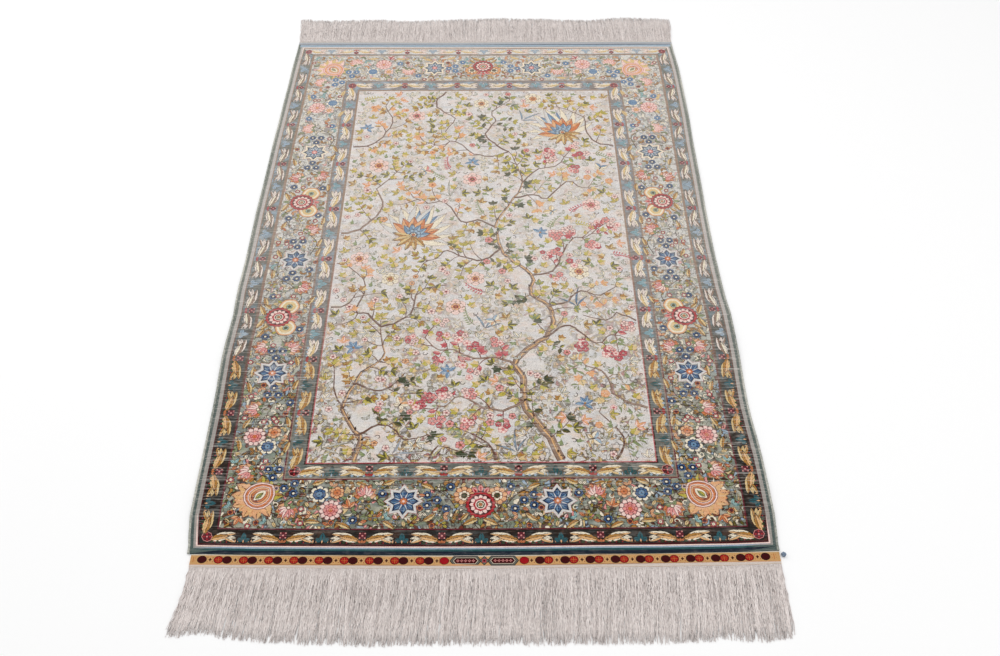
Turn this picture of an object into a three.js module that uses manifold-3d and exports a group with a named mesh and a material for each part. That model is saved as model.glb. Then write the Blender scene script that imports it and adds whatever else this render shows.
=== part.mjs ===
// A small silk pile rug lying flat on a floor, as its weaver finishes it: the knotted pile sheet,
// an overcast selvedge cord down each long side, a flat-woven band at each end, the warp fringe
// that grows out of each band, and the knotted end of one selvedge yarn.
// Millimetres. X runs across the rug, Y along it (front end at -Y), Z up from the floor.
import * as THREE from "three";
import { mergeVertices } from "three/addons/utils/BufferGeometryUtils.js";
import Module from "manifold-3d";

const wasm = await Module();
wasm.setup();

// Driving dimensions
const RUG_WIDTH = 1000; // over both selvedges, at the corners
const PILE_LENGTH = 1518; // between the two flat-woven bands
const PILE_THICKNESS = 3.2;
const RIM_THICKNESS = 2.4; // the pile is beaten down at its rim
const RIM_WIDTH = 12;
const JOINT_GAP = 0.3; // between neighbouring pieces

const SELVEDGE_WIDTH = 4.8;
const SELVEDGE_HEIGHT = 3.6;
const SELVEDGE_SIDES = 8;

const FRONT_BAND_LENGTH = 24; // the flat weave with the row of red beads
const BACK_BAND_LENGTH = 14; // the ribbed flat weave
const BAND_THICKNESS = 1.8;

const ROOT_STRIP_LENGTH = 3; // the woven strip that the warp ends leave
const ROOT_STRIP_THICKNESS = 1.6;
const LOCKS_PER_END = 150;
const LOCK_WIDTH = 5;
const LOCK_HEIGHT = 2.4;
const LOCK_TIP_SHARE = 0.5; // of its width and height that a lock keeps at its tip
const LOCK_ROOT_HEIGHT = 1.4;
const LOCK_LENGTH_SPREAD = 12; // between the longest and the shortest neighbours
const LOCK_SWAY = 2.5;
const LOCK_SWAY_SPAN = 41; // across the rug, for one radian of sway
const LOCK_STATIONS = [0, 0.28, 0.64, 1]; // shares of a lock's length

const YARN_END_RADIUS = 4.6;
const YARN_END_HEIGHT = 6;
const YARN_END_SIDES = 12;

// How far each long side stands out past a straight edge, at places along the rug.
const SIDE_WANDER = [
  { along: -755, left: 2, right: 1 },
  { along: -695, left: 11, right: 6 },
  { along: -575, left: 13, right: 6 },
  { along: -455, left: 14, right: 1 },
  { along: -315, left: 18, right: 4 },
  { along: -215, left: 15, right: 5 },
  { along: -155, left: 17, right: 0 },
  { along: -35, left: 15, right: -2 },
  { along: 85, left: 15, right: -1 },
  { along: 205, left: 13, right: 1 },
  { along: 325, left: 12, right: 3 },
  { along: 445, left: 9, right: 6 },
  { along: 625, left: 6, right: 7 },
  { along: 755, left: 2, right: 2 },
];

// How far each end stands towards +Y of a straight edge, at places across the rug.
const END_WANDER = [
  { across: -500, front: 4, back: 0 },
  { across: -370, front: 1.5, back: 0 },
  { across: -200, front: -1, back: -1 },
  { across: -70, front: -1.5, back: -2 },
  { across: 100, front: -1.5, back: -2 },
  { across: 230, front: -1, back: 0 },
  { across: 400, front: 1, back: 1 },
  { across: 500, front: 4, back: 0 },
];

// Low ripples where the rug stands off the floor: centre, half spans and height.
const RIPPLES = [
  { across: -520, along: -665, spanX: 120, spanY: 85, height: 4.5 },
  { across: -520, along: -330, spanX: 130, spanY: 110, height: 5 },
  { across: -520, along: -150, spanX: 110, spanY: 60, height: 3.5 },
  { across: -520, along: 110, spanX: 110, spanY: 110, height: 3 },
  { across: -520, along: 400, spanX: 100, spanY: 120, height: 2.5 },
  { across: 520, along: -640, spanX: 120, spanY: 90, height: 4 },
  { across: 520, along: -300, spanX: 130, spanY: 90, height: 5.5 },
  { across: 520, along: -120, spanX: 110, spanY: 70, height: 3 },
  { across: 520, along: 190, spanX: 100, spanY: 110, height: 3 },
  { across: 520, along: 520, spanX: 100, spanY: 130, height: 2.5 },
  { across: -230, along: -790, spanX: 150, spanY: 90, height: 2.5 },
  { across: 190, along: -790, spanX: 170, spanY: 90, height: 3 },
  { across: 60, along: 790, spanX: 180, spanY: 80, height: 2 },
];

// Warp fringe: length past its band and sideways lean of its tips, at places across the rug.
const FRINGE_SHAPE = [
  { across: -500, front: 119, back: 110, frontLean: -9, backLean: -6 },
  { across: -440, front: 111, back: 101, frontLean: -12, backLean: 2 },
  { across: -330, front: 124, back: 108, frontLean: -8, backLean: -4 },
  { across: -220, front: 128, back: 99, frontLean: -5, backLean: 3 },
  { across: -90, front: 130, back: 107, frontLean: -8, backLean: -3 },
  { across: 20, front: 127, back: 116, frontLean: -4, backLean: 4 },
  { across: 150, front: 130, back: 110, frontLean: -9, backLean: -2 },
  { across: 280, front: 128, back: 105, frontLean: -6, backLean: 3 },
  { across: 400, front: 126, back: 114, frontLean: -9, backLean: 5 },
  { across: 500, front: 131, back: 106, frontLean: -12, backLean: 4 },
];

// Lines of the pile's mesh, counted in from a side or an end: close together near the rim,
// where the sheet thins and ripples.
const LINES_FROM_SIDE = [0, 12, 30, 55, 90, 135, 200, 300, 430];
const LINES_FROM_END = [0, 12, 32];
const ROWS_BETWEEN = 37;

// A smooth value of one column of a table at a place, level past its ends.
function tableValue(table, key, column, place) {
  const last = table.length - 1;
  if (place <= table[0][key]) return table[0][column];
  if (place >= table[last][key]) return table[last][column];
  const above = table.findIndex((row) => row[key] > place);
  const below = above - 1;
  const share = (place - table[below][key]) / (table[above][key] - table[below][key]);
  return THREE.MathUtils.lerp(
    table[below][column],
    table[above][column],
    THREE.MathUtils.smoothstep(share, 0, 1),
  );
}

// How far the rug stands off the floor at a place.
function lift(x, y) {
  let height = 0;
  for (const ripple of RIPPLES) {
    const a = (x - ripple.across) / ripple.spanX;
    const b = (y - ripple.along) / ripple.spanY;
    height += ripple.height * Math.max(0, 1 - a * a - b * b) ** 2;
  }
  return height;
}

// The same numbers on every run, for the small differences between locks.
function seededRandom(seed) {
  let state = seed;
  return () => {
    state = (Math.imul(state, 1664525) + 1013904223) >>> 0;
    return state / 2 ** 32;
  };
}

// Distances of mesh lines from one edge to the other, close together at both.
function linesBetween(length, fromEdge, evenSteps) {
  const inner = fromEdge.at(-1);
  const lines = [...fromEdge];
  for (let step = 1; step < evenSteps; step++) {
    lines.push(THREE.MathUtils.lerp(inner, length - inner, step / evenSteps));
  }
  return [...lines, ...fromEdge.toReversed().map((distance) => length - distance)];
}

const PILE_INSET = SELVEDGE_WIDTH + JOINT_GAP;
const PILE_WIDTH = RUG_WIDTH - 2 * PILE_INSET;
const ACROSS = linesBetween(PILE_WIDTH, LINES_FROM_SIDE, 1);
const ALONG = linesBetween(PILE_LENGTH, LINES_FROM_END, ROWS_BETWEEN);
const LAST_COLUMN = ACROSS.length - 1;
const LAST_ROW = ALONG.length - 1;

// Where two of the pile's mesh lines cross, seen from above.
function pileCrossing(column, row) {
  const straightX = ACROSS[column] - PILE_WIDTH / 2;
  const straightY = ALONG[row] - PILE_LENGTH / 2;
  const left = -PILE_WIDTH / 2 - tableValue(SIDE_WANDER, "along", "left", straightY);
  const right = PILE_WIDTH / 2 + tableValue(SIDE_WANDER, "along", "right", straightY);
  const front = -PILE_LENGTH / 2 + tableValue(END_WANDER, "across", "front", straightX);
  const back = PILE_LENGTH / 2 + tableValue(END_WANDER, "across", "back", straightX);
  return [
    THREE.MathUtils.lerp(left, right, ACROSS[column] / PILE_WIDTH),
    THREE.MathUtils.lerp(front, back, ALONG[row] / PILE_LENGTH),
  ];
}

// Points along one end of the rug, over the pile and the selvedges beside it.
function endPoints(row) {
  const points = ACROSS.map((_, column) => pileCrossing(column, row));
  const [leftX, leftY] = points[0];
  const [rightX, rightY] = points.at(-1);
  return [[leftX - PILE_INSET, leftY], ...points, [rightX + PILE_INSET, rightY]];
}

const ENDS = {
  front: { points: endPoints(0), outward: -1 },
  back: { points: endPoints(LAST_ROW), outward: 1 },
};

// Where one end's edge runs at a place across the rug.
function edgeAt(end, x) {
  const { points } = ENDS[end];
  const next = Math.max(1, points.findIndex(([px]) => px > x));
  const [fromX, fromY] = points[next - 1];
  const [toX, toY] = points[next];
  return THREE.MathUtils.mapLinear(x, fromX, toX, fromY, toY);
}

function indexedGeometry(positions, triangles) {
  const geometry = new THREE.BufferGeometry();
  geometry.setAttribute("position", new THREE.Float32BufferAttribute(positions, 3));
  geometry.setIndex(triangles);
  geometry.computeVertexNormals();
  return geometry;
}

// One closed sheet over a grid of columns and rows; planPoint gives a crossing seen from above
// and thicknessAt the sheet's thickness there. It follows the rug's ripples.
function sheet(columns, rows, planPoint, thicknessAt) {
  const positions = [];
  for (const side of ["top", "under"]) {
    for (let row = 0; row < rows; row++) {
      for (let column = 0; column < columns; column++) {
        const [x, y] = planPoint(column, row);
        const height = side === "top" ? thicknessAt(column, row) : 0;
        positions.push(x, y, lift(x, y) + height);
      }
    }
  }
  const top = (column, row) => row * columns + column;
  const under = (column, row) => columns * rows + top(column, row);
  const triangles = [];
  const quad = (a, b, c, d) => triangles.push(a, b, c, a, c, d);
  const right = columns - 1;
  const back = rows - 1;
  for (let row = 0; row < back; row++) {
    for (let column = 0; column < right; column++) {
      const [nextColumn, nextRow] = [column + 1, row + 1];
      quad(
        top(column, row),
        top(nextColumn, row),
        top(nextColumn, nextRow),
        top(column, nextRow),
      );
      quad(
        under(column, row),
        under(column, nextRow),
        under(nextColumn, nextRow),
        under(nextColumn, row),
      );
    }
  }
  for (let column = 0; column < right; column++) {
    quad(under(column, 0), under(column + 1, 0), top(column + 1, 0), top(column, 0));
    quad(top(column, back), top(column + 1, back), under(column + 1, back), under(column, back));
  }
  for (let row = 0; row < back; row++) {
    quad(top(0, row), top(0, row + 1), under(0, row + 1), under(0, row));
    quad(under(right, row), under(right, row + 1), top(right, row + 1), top(right, row));
  }
  return indexedGeometry(positions, triangles);
}

// A closed tube through rings of points; each ring turns anticlockwise seen from the next one.
function tubeThroughRings(rings) {
  const sides = rings[0].length;
  const triangles = [];
  for (let ring = 0; ring < rings.length - 1; ring++) {
    for (let side = 0; side < sides; side++) {
      const a = ring * sides + side;
      const b = ring * sides + ((side + 1) % sides);
      triangles.push(a, b, b + sides, a, b + sides, a + sides);
    }
  }
  const lastRing = (rings.length - 1) * sides;
  for (let side = 1; side < sides - 1; side++) {
    triangles.push(0, side + 1, side);
    triangles.push(lastRing, lastRing + side, lastRing + side + 1);
  }
  return indexedGeometry(rings.flat(2), triangles);
}

function toSolid(geometry) {
  const bare = geometry.clone();
  bare.deleteAttribute("normal");
  const merged = mergeVertices(bare, 1e-4);
  return new wasm.Manifold(
    new wasm.Mesh({
      numProp: 3,
      vertProperties: new Float32Array(merged.attributes.position.array),
      triVerts: new Uint32Array(merged.index.array),
    }),
  );
}

function toGeometry(solid) {
  const mesh = solid.getMesh();
  return indexedGeometry([...mesh.vertProperties], [...mesh.triVerts]);
}

// Knotted pile sheet, beaten down at its rim
function pileSheet() {
  return sheet(ACROSS.length, ALONG.length, pileCrossing, (column, row) => {
    const toSide = Math.min(ACROSS[column], PILE_WIDTH - ACROSS[column]);
    const toEnd = Math.min(ALONG[row], PILE_LENGTH - ALONG[row]);
    const share = Math.min(1, toSide / RIM_WIDTH, toEnd / RIM_WIDTH);
    return THREE.MathUtils.lerp(RIM_THICKNESS, PILE_THICKNESS, share);
  });
}

// Overcast selvedge cord beside one column of the pile, flat where it meets the floor
function selvedge(column, outward) {
  const overFlats = 1 / Math.cos(Math.PI / SELVEDGE_SIDES);
  const rings = ALONG.map((_, row) => {
    const [edgeX, y] = pileCrossing(column, row);
    const centre = edgeX + outward * (JOINT_GAP + SELVEDGE_WIDTH / 2);
    const floor = lift(centre, y);
    return Array.from({ length: SELVEDGE_SIDES }, (_, side) => {
      const turn = ((side + 0.5) / SELVEDGE_SIDES) * 2 * Math.PI;
      return [
        centre + (SELVEDGE_WIDTH / 2) * Math.sin(turn) * overFlats,
        y,
        floor + (SELVEDGE_HEIGHT / 2) * (1 + Math.cos(turn) * overFlats),
      ];
    });
  });
  return tubeThroughRings(rings);
}

// Flat weave across one end, between two distances out from the pile
function flatWeave(end, from, to, thickness) {
  const { points, outward } = ENDS[end];
  const distances = outward > 0 ? [from, to] : [to, from];
  return sheet(
    points.length,
    distances.length,
    (column, row) => [points[column][0], points[column][1] + outward * distances[row]],
    () => thickness,
  );
}

// Warp fringe: locks of thread that lie on the floor and join only in their woven root strip
function fringe(end, bandLength, seed) {
  const { points, outward } = ENDS[end];
  const random = seededRandom(seed);
  const rootFrom = bandLength + JOINT_GAP;
  const rootTo = rootFrom + ROOT_STRIP_LENGTH;
  const rootMiddle = (rootFrom + rootTo) / 2;
  const firstX = points[0][0] + LOCK_WIDTH / 2 + 1;
  const lastX = points.at(-1)[0] - LOCK_WIDTH / 2 - 1;
  const solids = [toSolid(flatWeave(end, rootFrom, rootTo, ROOT_STRIP_THICKNESS))];
  for (let lock = 0; lock < LOCKS_PER_END; lock++) {
    const rootX = THREE.MathUtils.lerp(firstX, lastX, lock / (LOCKS_PER_END - 1));
    const rootY = edgeAt(end, rootX) + outward * rootMiddle;
    const spread = LOCK_LENGTH_SPREAD * (random() - 0.5);
    const length = tableValue(FRINGE_SHAPE, "across", end, rootX) + spread;
    const lean = tableValue(FRINGE_SHAPE, "across", `${end}Lean`, rootX);
    const sway = LOCK_SWAY * Math.sin(rootX / LOCK_SWAY_SPAN + outward);
    const rings = LOCK_STATIONS.map((share) => {
      const x = rootX + lean * share ** 2 + sway * Math.sin(Math.PI * share);
      const y = rootY + outward * length * share;
      const taper = THREE.MathUtils.lerp(1, LOCK_TIP_SHARE, share ** 2);
      const half = (LOCK_WIDTH / 2) * taper;
      const atRoot = share === 0;
      const floor = atRoot ? lift(rootX, rootY) + JOINT_GAP / 2 : 0;
      const ridge = atRoot ? floor + LOCK_ROOT_HEIGHT - JOINT_GAP : LOCK_HEIGHT * taper;
      return [
        [x + outward * half, y, floor],
        [x - outward * half, y, floor],
        [x, y, ridge],
      ];
    });
    solids.push(toSolid(tubeThroughRings(rings)));
  }
  return toGeometry(wasm.Manifold.union(solids));
}

// Knotted end of the blue selvedge yarn, flat where it lies on the floor
function yarnKnot() {
  const profile = [
    { out: 0, up: 0 },
    { out: 0.72, up: 0 },
    { out: 1, up: 0.35 },
    { out: 0.9, up: 0.7 },
    { out: 0.45, up: 0.96 },
    { out: 0, up: 1 },
  ];
  const outline = profile.map(
    ({ out, up }) => new THREE.Vector2(out * YARN_END_RADIUS, up * YARN_END_HEIGHT),
  );
  return new THREE.LatheGeometry(outline, YARN_END_SIDES).rotateX(Math.PI / 2);
}

const silk = (color, roughness) =>
  new THREE.MeshStandardMaterial({ color, roughness, metalness: 0 });

const MATERIALS = {
  pile: silk(0xc9c6b8, 0.5),
  selvedge: silk(0x9fa595, 0.6),
  frontBand: silk(0xc99a72, 0.65),
  backBand: silk(0xa9bcc6, 0.65),
  fringe: silk(0xcfc6c0, 0.6),
  blueYarn: silk(0x6f8296, 0.6),
};

function piece(name, geometry, material) {
  const mesh = new THREE.Mesh(geometry, material);
  mesh.name = name;
  return mesh;
}

const rug = new THREE.Group();
rug.add(
  piece("pile", pileSheet(), MATERIALS.pile),
  piece("selvedge_left", selvedge(0, -1), MATERIALS.selvedge),
  piece("selvedge_right", selvedge(LAST_COLUMN, 1), MATERIALS.selvedge),
  piece(
    "end_band_front",
    flatWeave("front", JOINT_GAP, FRONT_BAND_LENGTH, BAND_THICKNESS),
    MATERIALS.frontBand,
  ),
  piece(
    "end_band_back",
    flatWeave("back", JOINT_GAP, BACK_BAND_LENGTH, BAND_THICKNESS),
    MATERIALS.backBand,
  ),
  piece("fringe_front", fringe("front", FRONT_BAND_LENGTH, 7), MATERIALS.fringe),
  piece("fringe_back", fringe("back", BACK_BAND_LENGTH, 19), MATERIALS.fringe),
);

const [cornerX, cornerY] = ENDS.front.points.at(-1);
const yarnEnd = piece("yarn_end", yarnKnot(), MATERIALS.blueYarn);
yarnEnd.position.set(cornerX + YARN_END_RADIUS + JOINT_GAP, cornerY - FRONT_BAND_LENGTH / 3, 0);
rug.add(yarnEnd);

// The origin is on the floor under the middle of the whole rug, fringes included.
const middle = new THREE.Box3().setFromObject(rug).getCenter(new THREE.Vector3());
rug.position.set(-middle.x, -middle.y, 0);

export default rug;
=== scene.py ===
"""A small silk pile rug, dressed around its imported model.

Each operator of this add-on makes one piece or group of like pieces: the knotted pile with its
charted pattern, the selvedges, the woven ends, the warp fringes and the yarn end, and the stage.
The scene is in metres; the chart of the pattern is in millimetres.
"""

import math
import random
from collections import namedtuple
from functools import cache, partial

import bpy
import numpy as np
from bpy.props import FloatProperty, FloatVectorProperty, IntProperty, PointerProperty
from bpy.types import Operator, Panel, PropertyGroup
from mathutils import Euler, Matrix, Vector
from mathutils.bvhtree import BVHTree
from mathutils.geometry import delaunay_2d_cdt


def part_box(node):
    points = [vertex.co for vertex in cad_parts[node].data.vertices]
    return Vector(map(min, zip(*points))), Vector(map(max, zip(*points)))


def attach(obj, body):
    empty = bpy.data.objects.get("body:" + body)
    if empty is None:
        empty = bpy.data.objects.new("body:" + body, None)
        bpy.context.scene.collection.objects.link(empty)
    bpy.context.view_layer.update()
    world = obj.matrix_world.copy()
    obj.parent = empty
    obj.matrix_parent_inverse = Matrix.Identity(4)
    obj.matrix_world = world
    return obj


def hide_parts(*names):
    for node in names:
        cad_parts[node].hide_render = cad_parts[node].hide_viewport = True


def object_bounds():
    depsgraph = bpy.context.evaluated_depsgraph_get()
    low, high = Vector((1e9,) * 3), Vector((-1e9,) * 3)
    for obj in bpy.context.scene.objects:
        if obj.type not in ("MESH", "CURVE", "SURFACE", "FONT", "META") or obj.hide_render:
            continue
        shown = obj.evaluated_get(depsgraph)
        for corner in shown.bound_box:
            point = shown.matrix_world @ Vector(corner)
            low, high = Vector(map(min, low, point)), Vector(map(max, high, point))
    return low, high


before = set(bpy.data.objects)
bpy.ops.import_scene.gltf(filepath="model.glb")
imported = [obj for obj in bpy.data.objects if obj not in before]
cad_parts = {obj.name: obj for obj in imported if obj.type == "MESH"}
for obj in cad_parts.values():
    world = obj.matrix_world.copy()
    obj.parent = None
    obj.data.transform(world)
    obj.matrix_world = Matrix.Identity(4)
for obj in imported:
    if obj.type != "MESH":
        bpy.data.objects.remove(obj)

bl_info = {
    "name": "Silk Pile Rug",
    "version": (1, 0, 0),
    "blender": (4, 5, 0),
    "location": "View3D > Sidebar > Rug",
    "description": "Makes a knotted silk rug with charted borders, woven ends and warp fringes",
    "category": "Object",
}

FRAME_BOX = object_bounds()
MM = 0.001
JOINT_GAP = 0.3 * MM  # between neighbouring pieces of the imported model

Box = namedtuple("Box", "left right front back")

# Frames of the chart from the rim inwards, in millimetres from the pattern's front left corner
RIM = Box(-8, 998, -4, 1513)
RIM_BAND = Box(-3.5, 993.5, 6.2, 1502)
RIM_LINE = Box(0.5, 989.5, 9.2, 1499)
RIM_CORD = Box(3.6, 986.6, 11.4, 1495.5)
OUTER_GUARD = Box(5.6, 984.6, 15, 1491)
OUTER_LINE = Box(34.5, 957, 40.5, 1465.5)
OUTER_BEAD = Box(37.5, 954, 43, 1463)
MAIN = Box(40.5, 951.5, 45.5, 1461)
INNER_LINE = Box(139.5, 848.5, 143.5, 1349)
INNER_BEAD = Box(142, 846, 146, 1346.5)
INNER_GUARD = Box(144, 844, 148, 1344)
FIELD_LINE = Box(174, 815, 175.8, 1309)
FIELD_BEAD = Box(177, 812.5, 178.3, 1306)
FIELD = Box(179, 810.8, 180, 1304)

BACK_STRIPE = 1501  # where the stripe along the back begins: the teal stripe, painted pale blue as painted sheen

CHART_MIDDLE = (494.5, 754.75)  # this point of the chart lies over the middle of the pile
MIRROR_LINE = 493.5  # the borders are alike on both sides of it

STIFF_RIM = 22  # chart width beside an edge that follows it fully
FADE_DEPTH = 90  # chart width over which the waviness dies out

RIM_HEIGHT = 2.4 * MM
PILE_HEIGHT = 3.2 * MM
RIM_WIDTH = 12 * MM


def linear(red, green, blue):
    """A dye given as 0 to 255 display values, in the linear light that shaders use."""
    shares = np.array((red, green, blue)) / 255
    return tuple(np.where(shares < 0.04045, shares / 12.92, ((shares + 0.055) / 1.055) ** 2.4))


def dye(name, description, red, green, blue):
    """A colour property with its name, description and default."""
    return FloatVectorProperty(name=name, description=description, default=linear(red, green, blue),
                               subtype="COLOR", size=3, min=0, max=1)


class RugDyes(PropertyGroup):
    """The dyes of the silk."""

    # Where a ground changes towards the back (Oatmeal to Ivory, Peat to Stone, Sage to Bone, Lichen to
    # Silver, Dove to Shell, Stone to Ash and others), the change is painted sheen, not a change of dye.
    # Ash, Silver and Shell serve only for painted sheen.
    ivory: dye("Ivory", "Ground of the field", 215, 210, 208)
    oatmeal: dye("Oatmeal", "Ground of the field at its front", 210, 204, 199)
    sage: dye("Sage", "Ground of the main border", 110, 117, 106)
    peat: dye("Peat", "Ground of the outer guard", 36, 26, 20)
    ash: dye("Ash", "Grounds of the guards towards the back", 118, 111, 108)
    bone: dye("Bone", "Pale grounds towards the back", 202, 199, 195)
    stone: dye("Stone", "Ground of the inner guard", 98, 100, 92)
    # Abyss is painted shade: the dark where the pile curls over its front edge.
    abyss: dye("Abyss", "Dark stripe along the front rim", 18, 30, 44)
    lichen: dye("Lichen", "Dark stripe along the side rims", 76, 90, 86)
    silver: dye("Silver", "Dark stripe along the side rims, further back", 108, 114, 106)
    dove: dye("Dove", "Light stripe along the side rims", 152, 146, 140)
    shell: dye("Shell", "Light stripe along the side rims, further back", 180, 172, 168)
    spruce: dye("Spruce", "Teal stripe along the front rim", 36, 78, 80)
    pearl: dye("Pearl", "Ribs of the back end", 188, 192, 198)
    # Mist across the back end is the teal stripe under painted sheen.
    mist: dye("Mist", "Stripe across the back end", 142, 162, 178)
    teal: dye("Teal", "Trefoils of the guards", 34, 84, 92)
    shallow: dye("Shallow", "Trefoils of the inner guard, further back", 112, 150, 160)
    aqua: dye("Aqua", "Pale green-blue patches", 150, 182, 178)
    sky: dye("Sky", "Pale blue petals", 144, 168, 186)
    powder: dye("Powder", "Light blue of florets", 96, 130, 160)
    blue: dye("Blue", "Mid blue of stars and florets", 52, 88, 130)
    navy: dye("Navy", "Outlines of stars and florets", 20, 28, 54)
    cream: dye("Cream", "Lights of the borders", 226, 214, 190)
    linen: dye("Linen", "Palest leaves of the guards", 224, 210, 200)
    sand: dye("Sand", "Ground of the beaded end", 212, 164, 108)
    wheat: dye("Wheat", "Light side of the guard leaves", 210, 180, 124)
    gold: dye("Gold", "Dark side of the guard leaves", 164, 114, 42)
    apricot: dye("Apricot", "Light orange petals", 216, 160, 112)
    orange: dye("Orange", "Orange petals", 194, 108, 52)
    russet: dye("Russet", "Outlines of orange petals", 106, 46, 26)
    maroon: dye("Maroon", "Dark beads and lines", 66, 6, 10)
    wine: dye("Wine", "Outlines of pink petals", 92, 20, 34)
    red: dye("Red", "Rings of the rosettes", 164, 14, 26)
    rose: dye("Rose", "Deep pink petals", 182, 70, 78)
    pink: dye("Pink", "Pink petals", 214, 136, 130)
    blush: dye("Blush", "Palest pink petals", 230, 198, 188)
    brown: dye("Brown", "Stems and outlines", 50, 30, 22)
    bark: dye("Bark", "Boughs of the field", 98, 66, 50)
    taupe: dye("Taupe", "Trunks and soft outlines", 138, 112, 94)
    olive: dye("Olive", "Leaf outlines", 86, 78, 26)
    moss: dye("Moss", "Dark leaves", 50, 62, 32)
    lime: dye("Lime", "Yellow-green leaves", 178, 162, 56)
    fern: dye("Fern", "Grey-green leaves", 126, 138, 92)


def length(name, description, default, low, high):
    """A length property, given in millimetres."""
    return FloatProperty(name=name, description=description, default=default * MM, min=low * MM,
                         max=high * MM, subtype="DISTANCE", unit="LENGTH")


class RugSizes(PropertyGroup):
    """The sizes that shape the rug's finish."""

    knot: length("Knot", "Pitch of the knots in the pile", 1.1, 0.3, 4)
    # Painted sheen: how much of a pale wash the pile's dyes take towards the back end
    sheen_veil: FloatProperty(name="Veil", default=0.14, min=0, max=1, subtype="FACTOR",
                        description="Share of the dye that the nap veils towards the back end")
    strands: IntProperty(name="Strands", default=2950, min=300, max=3000,
                         description="Warp threads in each fringe")
    strand: length("Strand", "Thickness of one warp thread of the fringe", 1.5, 0.3, 3)
    wrap: length("Wrap", "Pitch of the overcasting yarn along the selvedges", 1.9, 1, 6)


# Outlines

def polar(count, radius_at, start=0.0):
    """A closed outline round the origin, from its radius at each angle."""
    angles = np.arange(count) * (2 * math.pi / count) + math.radians(start)
    radii = radius_at(angles - math.radians(start)) + np.zeros(count)
    return np.column_stack((np.sin(angles) * radii, np.cos(angles) * radii))


def disc(radius, count=10):
    """A round outline."""
    return polar(count, lambda angle: radius)


def scalloped(radius, petals, depth, points):
    """A flower's outline, with round petals that meet in notches."""
    return polar(petals * points,
                 lambda angle: radius * (1 - depth + depth * abs(np.cos(petals * angle / 2))))


def pointed_star(radius, points, depth, start=0.0):
    """A star's outline with straight sides."""
    radii = np.tile((radius, radius * (1 - depth)), points)
    return polar(points * 2, lambda angle: radii, start)


def blade(right, length, bend):
    """A pointed outline along +Y from its right side; bend moves its tip sideways."""
    outline = np.vstack(([(0, 0)], right, [(0, length)], (right * (-1, 1))[::-1]))
    outline[:, 0] += bend * (outline[:, 1] / length) ** 2
    return outline


def leaf(length, width, bend=0.0, steps=3, belly=0.8):
    """A pointed leaf."""
    along = np.arange(1, steps + 1) / (steps + 1)
    half = width / 2 * np.sin(math.pi * along ** belly)
    return blade(np.column_stack((half, along * length)), length, bend)


def toothed_leaf(length, width, teeth, bend):
    """A long leaf with forward teeth down both sides."""
    tips = (np.arange(teeth) + 0.9) / (teeth + 0.6)
    half = width / 2 * np.sin(math.pi * tips ** 0.9) ** 0.8
    right = np.column_stack((half, tips * length, half * 0.62, (tips + 0.05) * length))
    return blade(right.reshape(-1, 2), length, bend)


def ivy(size):
    """A three-lobed vine leaf from its stalk along +Y."""
    right = ((0.16, 0.02), (0.5, 0.12), (0.36, 0.34), (0.56, 0.6), (0.24, 0.62))
    left = tuple((-x, y) for x, y in reversed(right))
    return np.array(((0, 0.1), *right, (0, 1), *left)) * size


def almond(length, width):
    """An egg-shaped outline with a pointed tip, centred on the origin."""
    angles = np.arange(16) * math.pi / 8
    across = width / 2 * np.sin(angles) * (1 - 0.1 * np.cos(angles))
    along = length / 2 * np.cos(angles)
    along[0] *= 1.07
    return np.column_stack((across, along))


def ribbon(line, start_width, end_width):
    """A tapered stroke along a line of points."""
    line = np.asarray(line, float)
    tangents = np.gradient(line, axis=0)
    tangents /= np.linalg.norm(tangents, axis=1)[:, None]
    normals = tangents[:, ::-1] * (1, -1)
    half = np.linspace(start_width, end_width, len(line))[:, None] / 2
    return np.vstack((line + normals * half, (line - normals * half)[::-1]))


def smooth_line(points, steps):
    """A smooth line through given points."""
    points = np.asarray(points, float)
    padded = np.vstack((2 * points[0] - points[1], points, 2 * points[-1] - points[-2]))
    line = []
    for a, b, c, d in zip(padded, padded[1:], padded[2:], padded[3:]):
        for t in np.arange(steps) / steps:
            bow = (2 * a - 5 * b + 4 * c - d) * t + (3 * b - a - 3 * c + d) * t * t
            line.append(b + ((c - a) + bow) * t / 2)
    return np.array([*line, points[-1]])


def moved(outline, x=0.0, y=0.0, turn=0.0, mirror=False):
    """An outline mirrored, turned clockwise by degrees and set down at a place."""
    points = np.asarray(outline, float)
    if mirror:
        points = points * (-1, 1)
    cos, sin = math.cos(math.radians(turn)), math.sin(math.radians(turn))
    return points @ np.array(((cos, -sin), (sin, cos))) + (x, y)


# Motifs are lists of dyes and outlines, one over the other

def put(motif, *place, **ways):
    """A motif set down at a place."""
    return [(tone, moved(outline, *place, **ways)) for tone, outline in motif]


def pair(motif, x, y, turn, mirror=True):
    """A motif on the right and on the left of the middle."""
    return put(motif, x, y, turn) + put(motif, -x, y, -turn, mirror=mirror)


def fan(motif, x, y, turns):
    """Copies of a motif spread from one place."""
    return [shape for turn in turns for shape in put(motif, x, y, turn)]


def around(motif, count, radius, start=0.0):
    """Copies of a motif in a circle, each pointing outwards."""
    copies = []
    for step in range(count):
        turn = start + step * 360 / count
        angle = math.radians(turn)
        copies += put(motif, radius * math.sin(angle), radius * math.cos(angle), turn)
    return copies


Paint = namedtuple("Paint", "form dyes bend edge")

FORMS = {"plain": 0, "leaf": 1, "flower": 2, "ground": 3, "blossom": 4}  # how a shape is filled


def drawn(form, dyes, outline, half_width, length, bend, edge):
    """A shape whose inside the finish draws with an ink, a fill and a light dye, which is the
    fill where none is named. Its last three points guide the finish: origin, side and tip."""
    names = dyes.split() if isinstance(dyes, str) else dyes
    guides = ((0, 0), (half_width, 0), (0, length))
    return [(Paint(form, (*names[:2], names[-1]), bend, edge), np.vstack((outline, guides)))]


def outline_of(tone, points):
    """A shape's outline without the three places that guide its finish."""
    return points if isinstance(tone, str) or tone.form == "ground" else points[:-3]


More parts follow.
